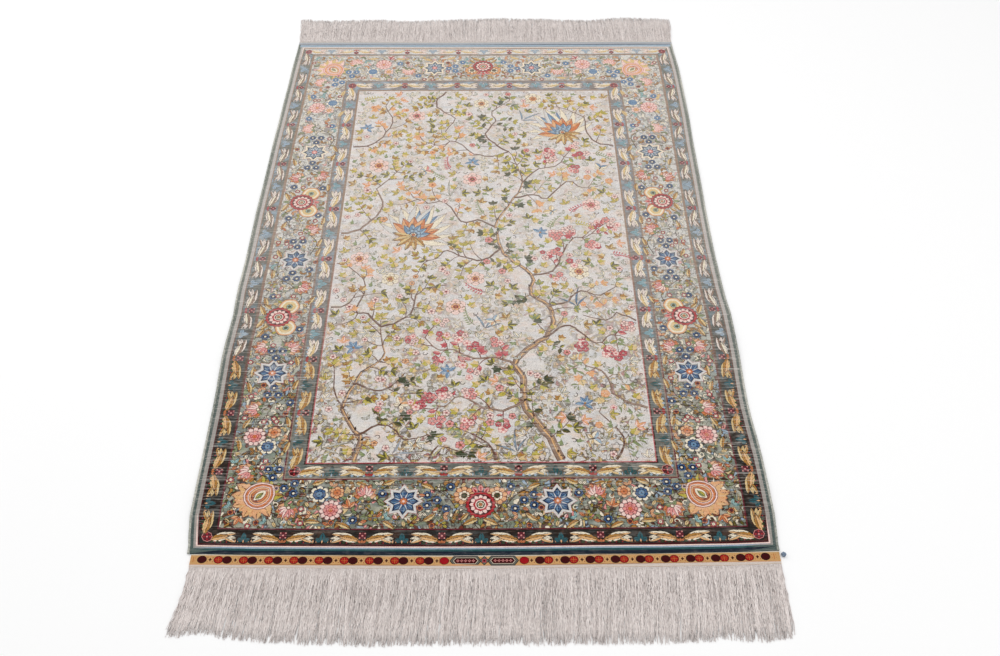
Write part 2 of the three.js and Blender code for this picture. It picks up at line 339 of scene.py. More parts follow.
def inked_leaf(length, width, dyes, bend=0.0, edge=1.1, steps=3):
    """A leaf with an inked edge and rib, and one side lighter than the other."""
    half = width / 2
    outline = leaf(length, width, bend, steps, 0.85)
    return drawn("leaf", dyes, outline, half, length, bend / half, edge / half)


def edged_leaf(length, width, dyes):
    """A small inked leaf."""
    return inked_leaf(length, width, dyes, edge=1.0, steps=2)


def inked_tooth(length, width, teeth, dyes, bend=0.0, edge=1.2):
    """A toothed leaf with an inked edge and rib."""
    half = width / 2
    outline = toothed_leaf(length, width, teeth, bend)
    return drawn("leaf", dyes, outline, half, length, bend / half, edge / half)


def inked_flower(radius, petals, dyes, edge=1.1, start=0.0, points=3):
    """A flower of one ring of petals, with an inked edge, notches and heart."""
    outline = scalloped(radius, petals, 0.18, points)
    return put(drawn("flower", dyes, outline, radius, radius, petals, edge / radius), 0, 0, start)


# Motifs of the borders

@cache
def golden_leaf(length, width, bend):
    """Toothed leaf, dark on one side of its rib and light on the other."""
    return inked_tooth(length, width, 4, "brown gold wheat", bend)


@cache
def rosette(far=False):
    """Red ringed rosette with two lobes towards the field, pale at the sides, and leaf wings."""
    if far:
        lobe = [("russet", scalloped(22, 6, 0.08, 3)), ("apricot", scalloped(20.9, 6, 0.08, 3)),
                ("cream", scalloped(18, 6, 0.1, 3)), ("wheat", scalloped(13.6, 6, 0.1, 3))]
        lobe += inked_flower(7, 5, "olive aqua moss", 1.2)
    else:
        lobe = inked_flower(19.5, 9, "russet apricot orange", 1.4)
        lobe += inked_flower(11, 6, "russet cream moss", 1.2)
    bud = edged_leaf(17, 11, "russet pink") + put([("red", leaf(8, 4))], 0, 3)
    motif = pair(golden_leaf(33, 13, 6), 3, -28, 104) + pair(golden_leaf(24, 10, 4), 20, -16, 128)
    motif += put(edged_leaf(18, 9, "moss fern"), 0, -25, 180)
    motif += pair(edged_leaf(13, 7, "olive lime"), 38, 2, 140, False)
    motif += put(bud, 0, 25) + pair(bud, 6, 22, 34, False) + pair(lobe, 29, 18, 0, False)
    motif += [("maroon", scalloped(28, 18, 0.1, 2)), ("red", scalloped(26.6, 18, 0.1, 2)),
              ("maroon", disc(21, 18))]
    motif += inked_flower(20.2, 12, "wine blush pink", 1.0, points=2)
    motif += [("red", scalloped(13.6, 8, 0.12, 2)), ("blush", disc(9.6, 12)), ("moss", disc(7.8, 9))]
    return motif + inked_flower(6.6, 5, "moss cream orange", 1.0, points=2)


@cache
def star(far=False):
    """Eight-pointed star with a pale edge and blue petals; the far one, towards the back, is paler by
    painted sheen.
    """
    # Painted sheen: the far star's paler blues and rim
    middle, rim, heart = ("powder", "cream", "pink") if far else ("blue", "bone", "orange")
    petals, edge = ("navy sky bone", 1.8) if far else ("navy powder blue", 1.2)
    motif = [("rose", pointed_star(35.2, 8, 0.31)), (rim, pointed_star(34.4, 8, 0.31)),
             ("navy", pointed_star(27.4, 8, 0.33)), (middle, pointed_star(25.4, 8, 0.36))]
    motif += around([("bone", leaf(19, 2.2, steps=1))], 8, 1, 22.5)
    motif += around(inked_leaf(16.4, 9.4, petals, edge=edge, steps=2), 8, 8.3)
    return motif + [("wine", pointed_star(9, 8, 0.3)), (heart, pointed_star(7.6, 8, 0.4)),
                    ("blush", disc(2.4, 8))]


far_rosette = partial(rosette, True)
far_star = partial(star, True)


@cache
def peony():
    """Pink flower of rings of round petals."""
    return (inked_flower(21.5, 11, "wine blush rose", 1.3) + inked_flower(14.2, 8, "wine pink blush", 1.2)
            + inked_flower(8, 5, "red pink orange", 1.2))


@cache
def rimmed_floret():
    """Blue flower with a pale rim."""
    return inked_flower(18, 7, "navy cream sky") + inked_flower(12.4, 7, "navy blue powder", 1.4)


@cache
def orange_floret():
    """Orange flower with a dark heart."""
    return inked_flower(13.4, 6, "russet apricot orange", 1.2)


@cache
def blue_floret():
    """Small round blue flower."""
    return inked_flower(9.2, 7, "navy blue navy", 1.5, points=2) + [("cream", disc(2.4, 6))]


@cache
def floret_cluster():
    """Three small blue flowers on short stems."""
    stem = [("brown", ribbon(((0, 0), (0, -12)), 1.4, 1.4))]
    motif = put(stem, 0, 9) + pair(stem, 10, -6, -120, False)
    return motif + put(blue_floret(), 0, 11) + pair(blue_floret(), 10.4, -6.4, 0, False)


@cache
def palmette():
    """Fan of pink and orange petals over green sepals."""
    motif = []
    for turn, length in ((-78, 21), (78, 21), (-48, 26), (48, 26), (-19, 29), (19, 29)):
        motif += put(inked_leaf(length, 15, "russet orange apricot"), 0, -4, turn)
    for turn, length in ((-56, 19), (56, 19), (-26, 22), (26, 22), (0, 25)):
        motif += put(inked_leaf(length, 10.5, "wine pink blush", edge=1.0, steps=2), 0, -3, turn)
    motif += pair(edged_leaf(16, 8, "moss fern"), 0, -2, 128, False)
    return motif + put([("russet", disc(4.4, 7)), ("cream", disc(2.8, 6))], 0, -3)


@cache
def corner_palmette():
    """Large almond in a pale shell, over a jagged orange apron and a golden hood."""
    motif = fan(inked_tooth(50, 28, 4, "russet sand apricot", edge=1.0), 0, -2,
                (-162, 162, -132, 132, -104, 104))
    for turn in (180, -146, 146):
        motif += put(inked_leaf(43, 30, "orange apricot sand", edge=0.6), 0, -3, turn)
        motif += put([("brown", leaf(6, 3.4, steps=1))], 0, -44, turn)
    motif += fan(inked_tooth(44, 24, 5, "brown gold lime"), 0, 0, (-46, 46, -18, 18))
    for tone, length, width in (
        ("wine", 58, 56), ("blush", 56, 54), ("wine", 51, 48.6), ("orange", 49, 46.6),
        ("blush", 43, 38), ("wine", 40, 35), ("apricot", 38, 33), ("russet", 33, 26),
        ("orange", 31.4, 24), ("russet", 27, 17), ("cream", 25.4, 15),
    ):
        motif.append((tone, almond(length, width)))
    motif += put(inked_leaf(19, 9, "olive lime fern", edge=1.2), 0, -9.8)
    motif += fan([("wine", leaf(16, 2, steps=1))], 0, -16, (-58, 58, -30, 30))
    return motif + put(inked_flower(5.4, 5, "wine blush navy", 1, points=2), 9, 30)


@cache
def leaf_fan(dyes):
    """Three broad leaves from one point."""
    one = inked_leaf(17, 9, dyes, 2, steps=2)
    return pair(one, 0, 0, 46) + put(inked_leaf(19, 9.4, dyes, steps=2), 0, 2)


@cache
def leaf_pair(dyes):
    """Two leaves from one point."""
    one = inked_leaf(13.5, 7.2, dyes, 1.6, steps=2)
    return put(one, 0, 0, 30) + put(one, 0, 0, -36, mirror=True)


@cache
def leafy_sprig():
    """A short stem with paired leaves and a tip leaf."""
    motif = [("brown", ribbon(((0, 0), (0.8, 8), (0, 17)), 1.3, 0.9))]
    for turn, up, dyes in ((62, 3, "brown lime"), (-62, 5, "brown gold"), (50, 10, "brown gold"),
                           (-50, 11, "brown lime")):
        motif += put(edged_leaf(11, 6.2, dyes), 0, up, turn)
    return motif + put(edged_leaf(12, 6.6, "brown lime"), 0, 14)


@cache
def bud_sprig():
    """A curled stem with a pink bud."""
    motif = [("brown", ribbon(((0, 0), (2.5, 5), (1.5, 10)), 1.4, 1.0))]
    motif += put([("moss", leaf(8, 4.4, steps=1))], 2, 5, 70)
    motif += put([("olive", leaf(8, 4.4, steps=1))], 1, 4, -60)
    return motif + put(inked_leaf(12, 8.6, "wine pink blush", steps=2), 1.5, 9)


@cache
def curl(tone, radius, turns, start_width, end_width):
    """A small scroll that winds in round the origin."""
    share = np.linspace(0, 1, 6)
    angles = share * turns * 2 * math.pi
    reach = radius * (1 - 0.72 * share)
    line = np.column_stack((reach * np.sin(angles), reach * np.cos(angles)))
    return [(tone, ribbon(line, start_width, end_width))]


@cache
def tiny_floret(dyes):
    """The smallest flower, four round petals and a heart."""
    return inked_flower(6.4, 4, dyes, 1)


DARK_CURL = (curl, "brown", 6.4, 0.75, 1.8, 1.1)

FILLERS = (
    # The radius that a motif needs, how often it comes, the motif and its arguments
    (12.5, 5, leaf_fan, "brown gold wheat"),
    (12.5, 4, leaf_fan, "brown fern cream"),
    (12.5, 3, leaf_fan, "russet orange apricot"),
    (12.5, 2, leaf_fan, "wine rose blush"),
    (12.5, 4, leafy_sprig),
    (10.5, 4, bud_sprig),
    (8.6, 6, leaf_pair, "brown gold"),
    (8.6, 3, leaf_pair, "brown fern"),
    (8.6, 4, leaf_pair, "russet apricot"),
    (8.6, 6, leaf_pair, "brown cream"),
    (8.6, 4, leaf_pair, "teal aqua"),
    (6.4, 2, tiny_floret, "brown rose cream"),
    (6.4, 1, tiny_floret, "brown orange wine"),
    (6.6, 4, curl, "cream", 6.2, 0.7, 2.2, 1.4),
    (6.0, 3, *DARK_CURL),
    (6.5, 3, edged_leaf, 15, 7.5, "brown orange"),
    (6.5, 5, edged_leaf, 15, 7.5, "brown wheat"),
)

Tones = namedtuple("Tones", "edge dark light trefoil cream pale small dot flower ring scroll bud")

OUTER_TONES = Tones(*"brown gold sand teal cream sand moss red wine pink apricot orange".split())
# The far and back tones, outer and inner, are paler by painted sheen.
OUTER_FAR_TONES = Tones(*"brown taupe cream mist linen taupe dove brown wine pink dove rose".split())
OUTER_BACK_TONES = Tones(*"taupe wheat cream mist linen blush mist taupe wine pink shell rose".split())
INNER_TONES = Tones(*"bark gold wheat spruce cream wheat mist brown maroon pink mist red".split())
INNER_FAR_TONES = Tones(*"bark wheat cream shallow linen cream mist taupe wine pink shell rose".split())

FAR_GUARDS = 450  # from here on towards the back the guards take paler dyes, as painted sheen


def garland(length, width, tones):
    """One repeat of a guard: a trefoil in the middle and a leafy wing up to it on each side."""
    half = length / 2
    ink, cream, pale = tones.edge, tones.cream, tones.pale
    wing_leaf = inked_tooth(0.6 * half, 0.52 * width, 4, (ink, tones.dark, tones.light), 8, 1.1)
    upper = inked_leaf(0.62 * half, 0.34 * width, (ink, cream, pale), 7, 0.8)
    lower = inked_tooth(0.52 * half, 0.36 * width, 3, (ink, pale, cream), -2, 0.8)
    lobe = inked_leaf(0.42 * half, 0.34 * width, (ink, cream, pale), 2, 0.8, 2)
    tip = inked_leaf(0.4 * half, 0.3 * width, (ink, cream), 3, 0.8, 2)
    wing = []
    for part, x, y, turn in ((lower, -0.9, -0.3, 82), (lobe, -0.58, 0, 108), (tip, -0.56, 0.06, 92),
                             (upper, -0.82, 0.06, 72), (lobe, -0.6, 0.18, 80),
                             (wing_leaf, -0.95, -0.26, 66)):
        wing += put(part, x * half, y * width, turn)
    motif = []
    for side in (1, -1):
        motif += put(wing, 0, 0, mirror=side < 0)
        for step, up in ((0.15, -0.4), (0.23, -0.43), (0.31, -0.42)):
            scroll = [(tones.scroll, leaf(0.28 * width, 0.1 * width, 1.5 * side, 1))]
            motif += put(scroll, side * step * half, up * width, -14 * side)
        for step in (0.46, 0.62, 0.78):
            motif += put([(tones.dot, disc(0.055 * width, 4))], side * step * half, -0.38 * width)
            motif += put([(tones.small, leaf(0.24 * width, 0.22 * width, steps=1))],
                         side * (step + 0.08) * half, -0.47 * width, 12 * side)
    petal = inked_leaf(0.5 * width, 0.38 * width, (ink, tones.trefoil), edge=0.8, steps=2)
    motif += pair(petal, 2, -0.34 * width, 52)
    motif += put(inked_leaf(0.84 * width, 0.46 * width, (ink, tones.trefoil), edge=0.9), 0, -0.38 * width)
    return motif + put([(tones.scroll, leaf(0.28 * width, 0.12 * width, steps=1))], 0, -0.44 * width)


def guard_diamond(width, tones):
    """The small flower where two repeats of a guard meet."""
    foot = inked_leaf(0.34 * width, 0.2 * width, (tones.edge, tones.bud), edge=0.7, steps=2)
    motif = pair(foot, 1, -0.56 * width, 50, False) + put(foot, 0, -0.6 * width)
    motif += around([(tones.ring, disc(0.06 * width, 5))], 4, 0.25 * width, 45)
    return motif + [(tones.flower, scalloped(0.27 * width, 4, 0.3, 4)), (tones.ring, disc(0.07 * width, 5))]


def guard_corner(width, tones):
    """The round flower in each corner of a guard."""
    motif = [(tones.ring, scalloped(0.4 * width, 8, 0.16, 3)),
             (tones.flower, scalloped(0.4 * width - 0.9, 8, 0.18, 3))]
    motif += around([("red", leaf(0.22 * width, 0.14 * width, steps=1))], 4, 0.1 * width)
    return motif + [(tones.ring, disc(0.07 * width, 5))]


class Chart:
    """Coloured outlines laid over each other in order, like a weaver's cartoon."""

    def __init__(self, box, ground_tone):
        self.box = box
        self.shapes = []
        self.taken = np.zeros((int(box.back - box.front) + 2, int(box.right - box.left) + 2), bool)
        self.fill(ground_tone, rectangle(box, 20))

    def fill(self, tone, points):
        """Lays one outline over what is there."""
        outline = outline_of(tone, points)
        x, y = outline[:, 0], outline[:, 1]
        area = np.dot(x, np.roll(y, -1)) - np.dot(y, np.roll(x, -1))
        self.shapes.append((tone, outline if area > 0 else outline[::-1], points[len(outline):]))

    def draw(self, motif):
        """Lays a motif over what is there and marks its place as taken."""
        for tone, points in motif:
            self.fill(tone, points)
            self.take(outline_of(tone, points))

    def take(self, outline):
        """Marks the place under an outline, from its edge to its middle."""
        middle = outline.mean(axis=0)
        nearer = [outline + (middle - outline) * share for share in (0, 0.25, 0.5, 0.75, 1)]
        steps = np.vstack((*nearer, (outline + np.roll(outline, 1, axis=0)) / 2))
        column = np.clip(steps[:, 0] - self.box.left, 0, self.taken.shape[1] - 1).astype(int)
        row = np.clip(steps[:, 1] - self.box.front, 0, self.taken.shape[0] - 1).astype(int)
        self.taken[row, column] = True

    def is_free(self, x, y, radius):
        """Whether nothing lies within a radius of a place."""
        column, row, reach = int(x - self.box.left), int(y - self.box.front), int(radius)
        rows = slice(max(0, row - reach), row + reach + 1)
        columns = slice(max(0, column - reach), column + reach + 1)
        return not self.taken[rows, columns].any()


def ground(front_dye, back_dye=None, mottle=0.0):
    """A ground that the finish blends from its first dye to its second towards the back, as painted sheen,
    with small leaves in it if mottled.
    """
    return Paint("ground", (front_dye, back_dye or front_dye, front_dye), 0.0, mottle)


def rectangle(box, pitch=None):
    """A frame's outline; with a pitch, its sides have points between their corners."""
    def stops(start, end):
        """Places along one side."""
        return np.linspace(start, end, round((end - start) / pitch) + 1 if pitch else 2)

    across, along = stops(box.left, box.right), stops(box.front, box.back)
    points = [(x, box.front) for x in across[:-1]] + [(box.right, y) for y in along[:-1]]
    points += [(x, box.back) for x in across[:0:-1]] + [(box.left, y) for y in along[:0:-1]]
    return np.array(points, float)


def lay_frames(chart):
    """The plain grounds and lines of all borders, from the rim inwards."""
    side = Box(RIM_LINE.left, RIM_CORD.left, 16, RIM_LINE.back - 2)
    # Where a ground has two dyes, the second is the painted sheen it takes towards the back.
    for tone, box in (
        # Painted shade: the dark abyss strip along the front rim and the navy line along the back rim stand
        # for the shade where the pile curls over its edge.
        (ground("abyss"), RIM._replace(back=3.4)),
        (ground("spruce"), Box(RIM.left + 2, RIM.right - 2, 2.4, 6.6)),
        (ground("dove", "shell"), RIM_BAND),
        ("mist", RIM_BAND._replace(back=9.4)),
        (ground("blush", "linen"), RIM_LINE),
        (ground("dove", "shell"), side),
        (ground("dove", "shell"), side._replace(left=RIM_CORD.right, right=RIM_LINE.right)),
        (ground("maroon", "taupe"), RIM_CORD),
        (ground("peat", "stone", 0.3), OUTER_GUARD),
    ):
        chart.fill(tone, rectangle(box, 60))
    corner = OUTER_LINE.back + 2
    chart.fill("bone", np.array(((OUTER_GUARD.left, OUTER_GUARD.back), (OUTER_LINE.left, corner),
                                 (OUTER_LINE.right, corner), (OUTER_GUARD.right, OUTER_GUARD.back))))
    for tone, box, pitch in (
        (ground("peat", "taupe"), OUTER_LINE, 60),
        (ground("wine", "taupe"), OUTER_BEAD, 60),
        (ground("sage", "bone", 1.0), MAIN, 60),
        (ground("wine", "taupe"), INNER_LINE, None),
        (ground("taupe", "ash"), INNER_BEAD, None),
        (ground("stone", "ash", 0.3), INNER_GUARD, None),
        (ground("brown", "taupe"), FIELD_LINE, None),
        (ground("rose", "taupe"), FIELD_BEAD, None),
        (ground("oatmeal", "ivory", 0.5), FIELD, None),
        # Painted sheen: the teal stripe along the back end, painted pale blue.
        ("mist", RIM._replace(front=BACK_STRIPE), None),
        # Painted shade where the pile curls over its back edge.
        ("navy", RIM._replace(front=RIM.back - 1.6), None),
    ):
        chart.fill(tone, rectangle(box, pitch))


SIDE_FLOWERS = (162, 292, 422, 551, 701, 859, 1017, 1165, 1320)  # flowers of both side guards


def lay_guard(chart, outer, inner, repeats, near, far, rear):
    """A guard border: garlands along its four sides, flowers between them and at its corners, in tones for
    the front, the further sides and the back. The darker lights near the front and the paler further and
    back tones are painted sheen."""
    def tones_at(y):
        """The guard's tones at a distance from the front."""
        if y < inner.front:
            return near
        # Painted sheen: the sides' lights are darker near the front.
        if y < FAR_GUARDS:
            return near._replace(cream="wheat", pale="gold")
        return far if y < inner.back else rear

    left, right, front, back = (np.array(outer) + inner) / 2
    width = min(inner.front - outer.front, inner.left - outer.left)
    across = np.linspace(left, right, repeats + 1)
    along = (front, *(stop for stop in SIDE_FLOWERS if front + width < stop < back - width), back)
    sides = (
        ([(x, front) for x in across], 0),
        ([(right, y) for y in along], -90),
        ([(x, back) for x in across[::-1]], 180),
        ([(left, y) for y in along[::-1]], 90),
    )
    for stops, turn in sides:
        for start, end in zip(stops, stops[1:]):
            x, y = (np.array(start) + end) / 2
            length = np.linalg.norm(np.subtract(end, start))
            chart.draw(put(garland(length, width, tones_at(y)), x, y, turn))
        for x, y in stops[1:-1]:
            chart.draw(put(put(guard_diamond(width, tones_at(y)), 0, 0.16 * width), x, y, turn))
        x, y = stops[0]
        chart.draw(put(guard_corner(width, tones_at(y)), x, y))


MAIN_FLOWERS = (
    # Motif, then places left of the mirror line with their turns; the right side is the mirror image
    (corner_palmette, (104, 112, 45), (104, 1397, 135)),
    (far_rosette, (84, 882, 90), (80, 533, 90)),
    (star, (358, 99, 0)),
    (far_star, (367, 1405, 0)),
    (star, (88, 387, 0), (93, 698, 0)),
    (far_star, (92, 1060, 0)),
    (peony, (232, 82, 0), (76, 238, 0), (78, 1234, 0), (233, 1420, 0)),
    (rimmed_floret, (209, 114, 0), (103, 216, 0), (116, 1254, 0), (207, 1388, 0)),
    (orange_floret, (240, 117, 0), (111, 247, 0), (110, 1224, 0), (248, 1388, 0)),
    (palmette, (157, 84, 200), (76, 162, 250), (162, 1424, -20), (78, 1340, -70), (290, 112, 0),
     (300, 1394, 180), (115, 450, 60), (115, 618, 120), (115, 790, 60), (115, 975, 120),
     (70, 300, 270), (72, 1150, 270), (66, 452, 250), (66, 966, 290)),
    (floret_cluster, (157, 127, 30), (122, 161, 60), (154, 1380, 180), (120, 1342, 90), (406, 101, 90),
     (415, 1402, -90), (96, 340, 0), (90, 436, 180), (92, 648, 0), (92, 748, 180), (92, 1010, 0),
     (92, 1108, 180)),
    (blue_floret, (320, 115, 0), (433, 84, 0), (440, 128, 0), (272, 62, 0), (131, 316, 0),
     (62, 480, 0), (126, 500, 0), (62, 590, 0), (126, 668, 0), (62, 828, 0), (126, 838, 0),
     (60, 934, 0), (126, 930, 0), (62, 1190, 0), (124, 1160, 0), (62, 1280, 0), (276, 1424, 0),
     (326, 1370, 0), (440, 1430, 0)),
)

MAIN_LEAVES = (
    # Golden leaf: place left of the mirror line, turn, bend
    (188, 58, 75, 10), (192, 134, 80, -8), (270, 138, 100, 8), (244, 56, 100, 8), (322, 60, 110, 8),
    (392, 60, 70, -8), (318, 134, 80, -8), (386, 134, 100, 8), (52, 206, 5, -10), (136, 200, 0, 8),
    (52, 254, 10, 8), (136, 256, 0, -8), (52, 338, 0, -8), (134, 344, 0, 8), (134, 402, 0, -8),
    (52, 404, 170, 8), (56, 502, 190, 8), (136, 566, 10, 8), (52, 560, 0, -8), (136, 706, 0, 8),
    (52, 640, 10, -8), (52, 730, 170, -8), (136, 736, 0, 8), (52, 790, 0, 8), (136, 806, 20, -8),
    (136, 946, 160, 8), (52, 1008, 0, -8), (136, 1026, 0, 8), (136, 1086, 170, -8), (52, 1094, 0, 8),
    (54, 1206, 20, 8), (136, 1196, 10, 8), (54, 1262, 0, -8), (136, 1280, 0, 8), (190, 1446, 100, -8),
    (262, 1444, 80, 8), (336, 1446, 100, 8), (396, 1444, 80, -8), (200, 1358, 80, 8),
    (276, 1360, 100, -8), (390, 1362, 90, 8),
)

MAIN_VINES = (
    # Stems left of the mirror line, through the main border
    ((452, 84), (430, 112), (395, 128), (340, 134), (310, 112), (282, 76), (250, 62), (216, 74)),
    ((452, 1418), (420, 1380), (384, 1372), (340, 1376), (300, 1400), (262, 1434), (210, 1436)),
    ((190, 104), (176, 118), (150, 100), (132, 84)),
    ((100, 160), (124, 190), (108, 212), (72, 226), (58, 262), (84, 300), (122, 330), (124, 368)),
    ((120, 404), (96, 424), (62, 440), (66, 476), (104, 500)),
    ((104, 560), (120, 590), (94, 622), (62, 650), (60, 700), (70, 730)),
    ((122, 712), (132, 752), (100, 786), (66, 800), (70, 840)),
    ((104, 912), (126, 960), (100, 990), (62, 1012), (60, 1050), (66, 1090)),
    ((124, 1072), (132, 1118), (94, 1150), (60, 1176), (66, 1214), (98, 1262), (124, 1290)),
)

BACK_BORDER = 1120  # from here on the main border's motifs take softer dyes, as painted sheen
PATTERN_SEED = 41
BORDER_TRIES = 40000  # places tried for the small fillers of the main border
FIELD_TRIES = 26000  # and for those of the field

# Painted sheen: each dye and the softer one it turns to towards the back
SHEEN_SOFTENED_DYES = {"orange": "apricot", "apricot": "blush", "sand": "wheat", "rose": "pink",
          "pink": "blush", "gold": "wheat", "lime": "fern", "brown": "taupe", "russet": "taupe",
          "olive": "taupe", "wine": "rose", "blue": "powder", "navy": "blue"}


def sheen_softened(motif):
    """A motif in the softer dyes of the painted sheen towards the back."""
    soft = []
    for tone, points in motif:
        if isinstance(tone, Paint):
            tone = tone._replace(dyes=tuple(SHEEN_SOFTENED_DYES.get(name, name) for name in tone.dyes))
        soft.append((SHEEN_SOFTENED_DYES.get(tone, tone), points))
    return soft


def mirrored(motif):
    """A motif's mirror image across the rug."""
    return [(tone, points * (-1, 1) + (2 * MIRROR_LINE, 0)) for tone, points in motif]


def draw_both(chart, motif):
    """A motif and its mirror image."""
    chart.draw(motif)
    chart.draw(mirrored(motif))


def walk(line, spacing):
    """Places along a line, some way apart, each with the line's heading there."""
    walked = 0.0
    for a, b in zip(line, line[1:]):
        walked += np.linalg.norm(b - a)
        if walked >= spacing:
            walked = 0.0
            yield b, math.degrees(math.atan2(b[0] - a[0], b[1] - a[1]))


def leafy_stem(line, rng):
    """A stem with small leaves on alternate sides."""
    motif = [("brown", ribbon(line, 2.0, 1.2))]
    side = 1
    for place, heading in walk(line, 11.0):
        length = 9.0 * rng.uniform(0.8, 1.25)
        one = edged_leaf(length, length * 0.5, "brown lime")
        motif += put(one, *place, heading + side * rng.uniform(45, 70))
        side = -side
    return motif


def lay_main_border(chart, rng):
    """Flowers, leaves and stems of the main border, then small fillers between them."""
    for points in MAIN_VINES:
        draw_both(chart, leafy_stem(smooth_line(points, 4), rng))
    for x, y, turn, bend in MAIN_LEAVES:
        # Painted sheen: golden leaves and flowers towards the back take softer dyes.
        motif = golden_leaf(30, 12, bend)
        draw_both(chart, put(sheen_softened(motif) if y > BACK_BORDER else motif, x, y, turn))
    for flower, *places in MAIN_FLOWERS:
        for x, y, turn in places:
            is_soft = y > BACK_BORDER and flower is not far_star
            draw_both(chart, put(sheen_softened(flower()) if is_soft else flower(), x, y, turn))
    chart.draw(put(rosette(), MIRROR_LINE, 92))
    chart.draw(put(rosette(), MIRROR_LINE, 1411, 180))
    scatter(chart, Box(MAIN.left + 2, MIRROR_LINE, MAIN.front + 2, MAIN.back - 2), INNER_LINE, rng)


def bag_of(fillers):
    """The fillers, each as often as it comes."""
    return [filler for filler in fillers for _ in range(filler[1])]


def scatter(chart, box, hole, rng):
    """Small motifs at free places of a border's left half, each with its mirror image."""
    bag = bag_of(FILLERS)
    for attempt in range(BORDER_TRIES):
        radius, _, motif, *arguments = rng.choice(bag)
        x = rng.uniform(box.left + radius * 0.7, box.right)
        y = rng.uniform(box.front + radius * 0.7, box.back - radius * 0.7)
        reach = radius * 0.8
        if hole.left - reach < x and hole.front - reach < y < hole.back + reach:
            continue
        if not chart.is_free(x, y, radius * 0.62):
            continue
        placed = put(put(motif(*arguments), 0, -radius * 0.6), x, y, rng.uniform(0, 360))
        chart.draw(placed)
        if x < box.right - radius:
            chart.draw(mirrored(placed))


# Motifs of the field: a garden of flowering boughs

LIGHTER = {"olive": "lime", "lime": "wheat", "gold": "wheat", "fern": "bone"}


@cache
def vine_leaf(dyes, size):
    """A lobed leaf with a darker edge and rib."""
    ink, fill = dyes.split()[:2]
    light = LIGHTER.get(fill, fill)
    return drawn("leaf", (ink, fill, light), ivy(size), size * 0.6, size, 0.0, 1.1 / size)


@cache
def blossom(dyes, radius):
    """A five-petalled blossom."""
    outline = scalloped(radius, 5, 0.24, 3)
    return put(drawn("blossom", dyes, outline, radius, radius, 5, 1.1 / radius), 0, 0, radius * 31)


@cache
def plain_leaf(dyes, size):
    """An oval leaf with an inked edge and rib."""
    return inked_leaf(size, size * 0.56, dyes, size * 0.12, 0.8, 2)


@cache
def grass_blades(dyes):
    """Three long curved blades from one foot."""
    motif = []
    for turn, length, bend in ((-24, 46, -12), (14, 58, 14), (42, 38, 12)):
        motif += put(inked_leaf(length, 5, dyes, bend, 0.8), 0, 0, turn)
    return motif


@cache
def garden_rose(dyes, radius):
    """A large open rose of three rings of petals."""
    outer, middle, heart = dyes.split()
    motif = inked_flower(radius, 6, ("taupe", outer), 0.8, points=4)
    motif += inked_flower(radius * 0.72, 7, ("taupe", outer, middle), 0.8, 20)
    motif += inked_flower(radius * 0.46, 6, ("russet", middle, heart), 0.8, 40)
    return motif + inked_flower(radius * 0.24, 5, ("wine", heart, "gold"), 0.8)


@cache
def great_palmette():
    """A wide fan flower in blue, apricot and cream, the largest motif of the field."""
    motif = []
    for turn in (-84, 84, -63, 63, -42, 42, -21, 21, 0):
        length = 112 - abs(turn) * 0.3
        motif += put(inked_leaf(length, 35, "taupe bone cream", edge=1.2, steps=4), 0, 0, turn)
        motif += put(inked_leaf(length * 0.62, 15, "blue sky powder", edge=1.6), 0, 22, turn)
    for turn in (-70, 70, -46, 46, -23, 23, 0):
        motif += put(inked_leaf(64, 25, "russet apricot orange", edge=1.3), 0, 0, turn)
        motif += put([("gold", leaf(40, 5, steps=1))], 0, 8, turn)
    motif += fan(inked_leaf(42, 17, "navy powder sky", edge=1.4), 0, 0, (-54, 54, -27, 27, 0))
    motif += put(inked_flower(18, 9, "navy sky blue", 1.5), 0, 5)
    motif += put(inked_flower(8, 6, "navy cream orange", 1.2), 0, 5)
    return motif + fan(golden_leaf(46, 17, 7), 0, 0, (108, -108, 138, -138, 165, -165))


@cache
def iris():
    """A small blue flower with drooping petals."""
    motif = []
    for turn in (-100, 100, -35, 35):
        motif += put(inked_leaf(19, 9, "blue sky powder", 3 if turn > 0 else -3), 0, 0, turn)
    motif += put(inked_leaf(21, 9, "blue powder sky"))
    return motif + put([("gold", disc(2.6, 6))], 0, 2)


@cache
def butterfly(upper, lower):
    """A butterfly with spread wings."""
    wing = put(inked_leaf(21, 14, ("taupe", upper, "cream")), 0, 1, 52)
    wing += put(inked_leaf(14, 10, ("taupe", lower, "cream")), 0, -1, 118)
    return pair(wing, 0, 0, 0) + [("brown", moved(leaf(14, 3, steps=2), 0, -7))]


@cache
def feathery_sprig(stem_dye, leaf_dye):
    """A long stem with many narrow leaflets."""
    line = [(0.014 * t * t, t) for t in np.linspace(0, 46, 5)]
    motif = [(stem_dye, ribbon(line, 1.5, 0.8))]
    for step in range(7):
        up = 6 + step * 5.6
        motif += fan([(leaf_dye, leaf(12 - step, 4, steps=1))], 0.014 * up * up, up, (54, -54))
    return motif


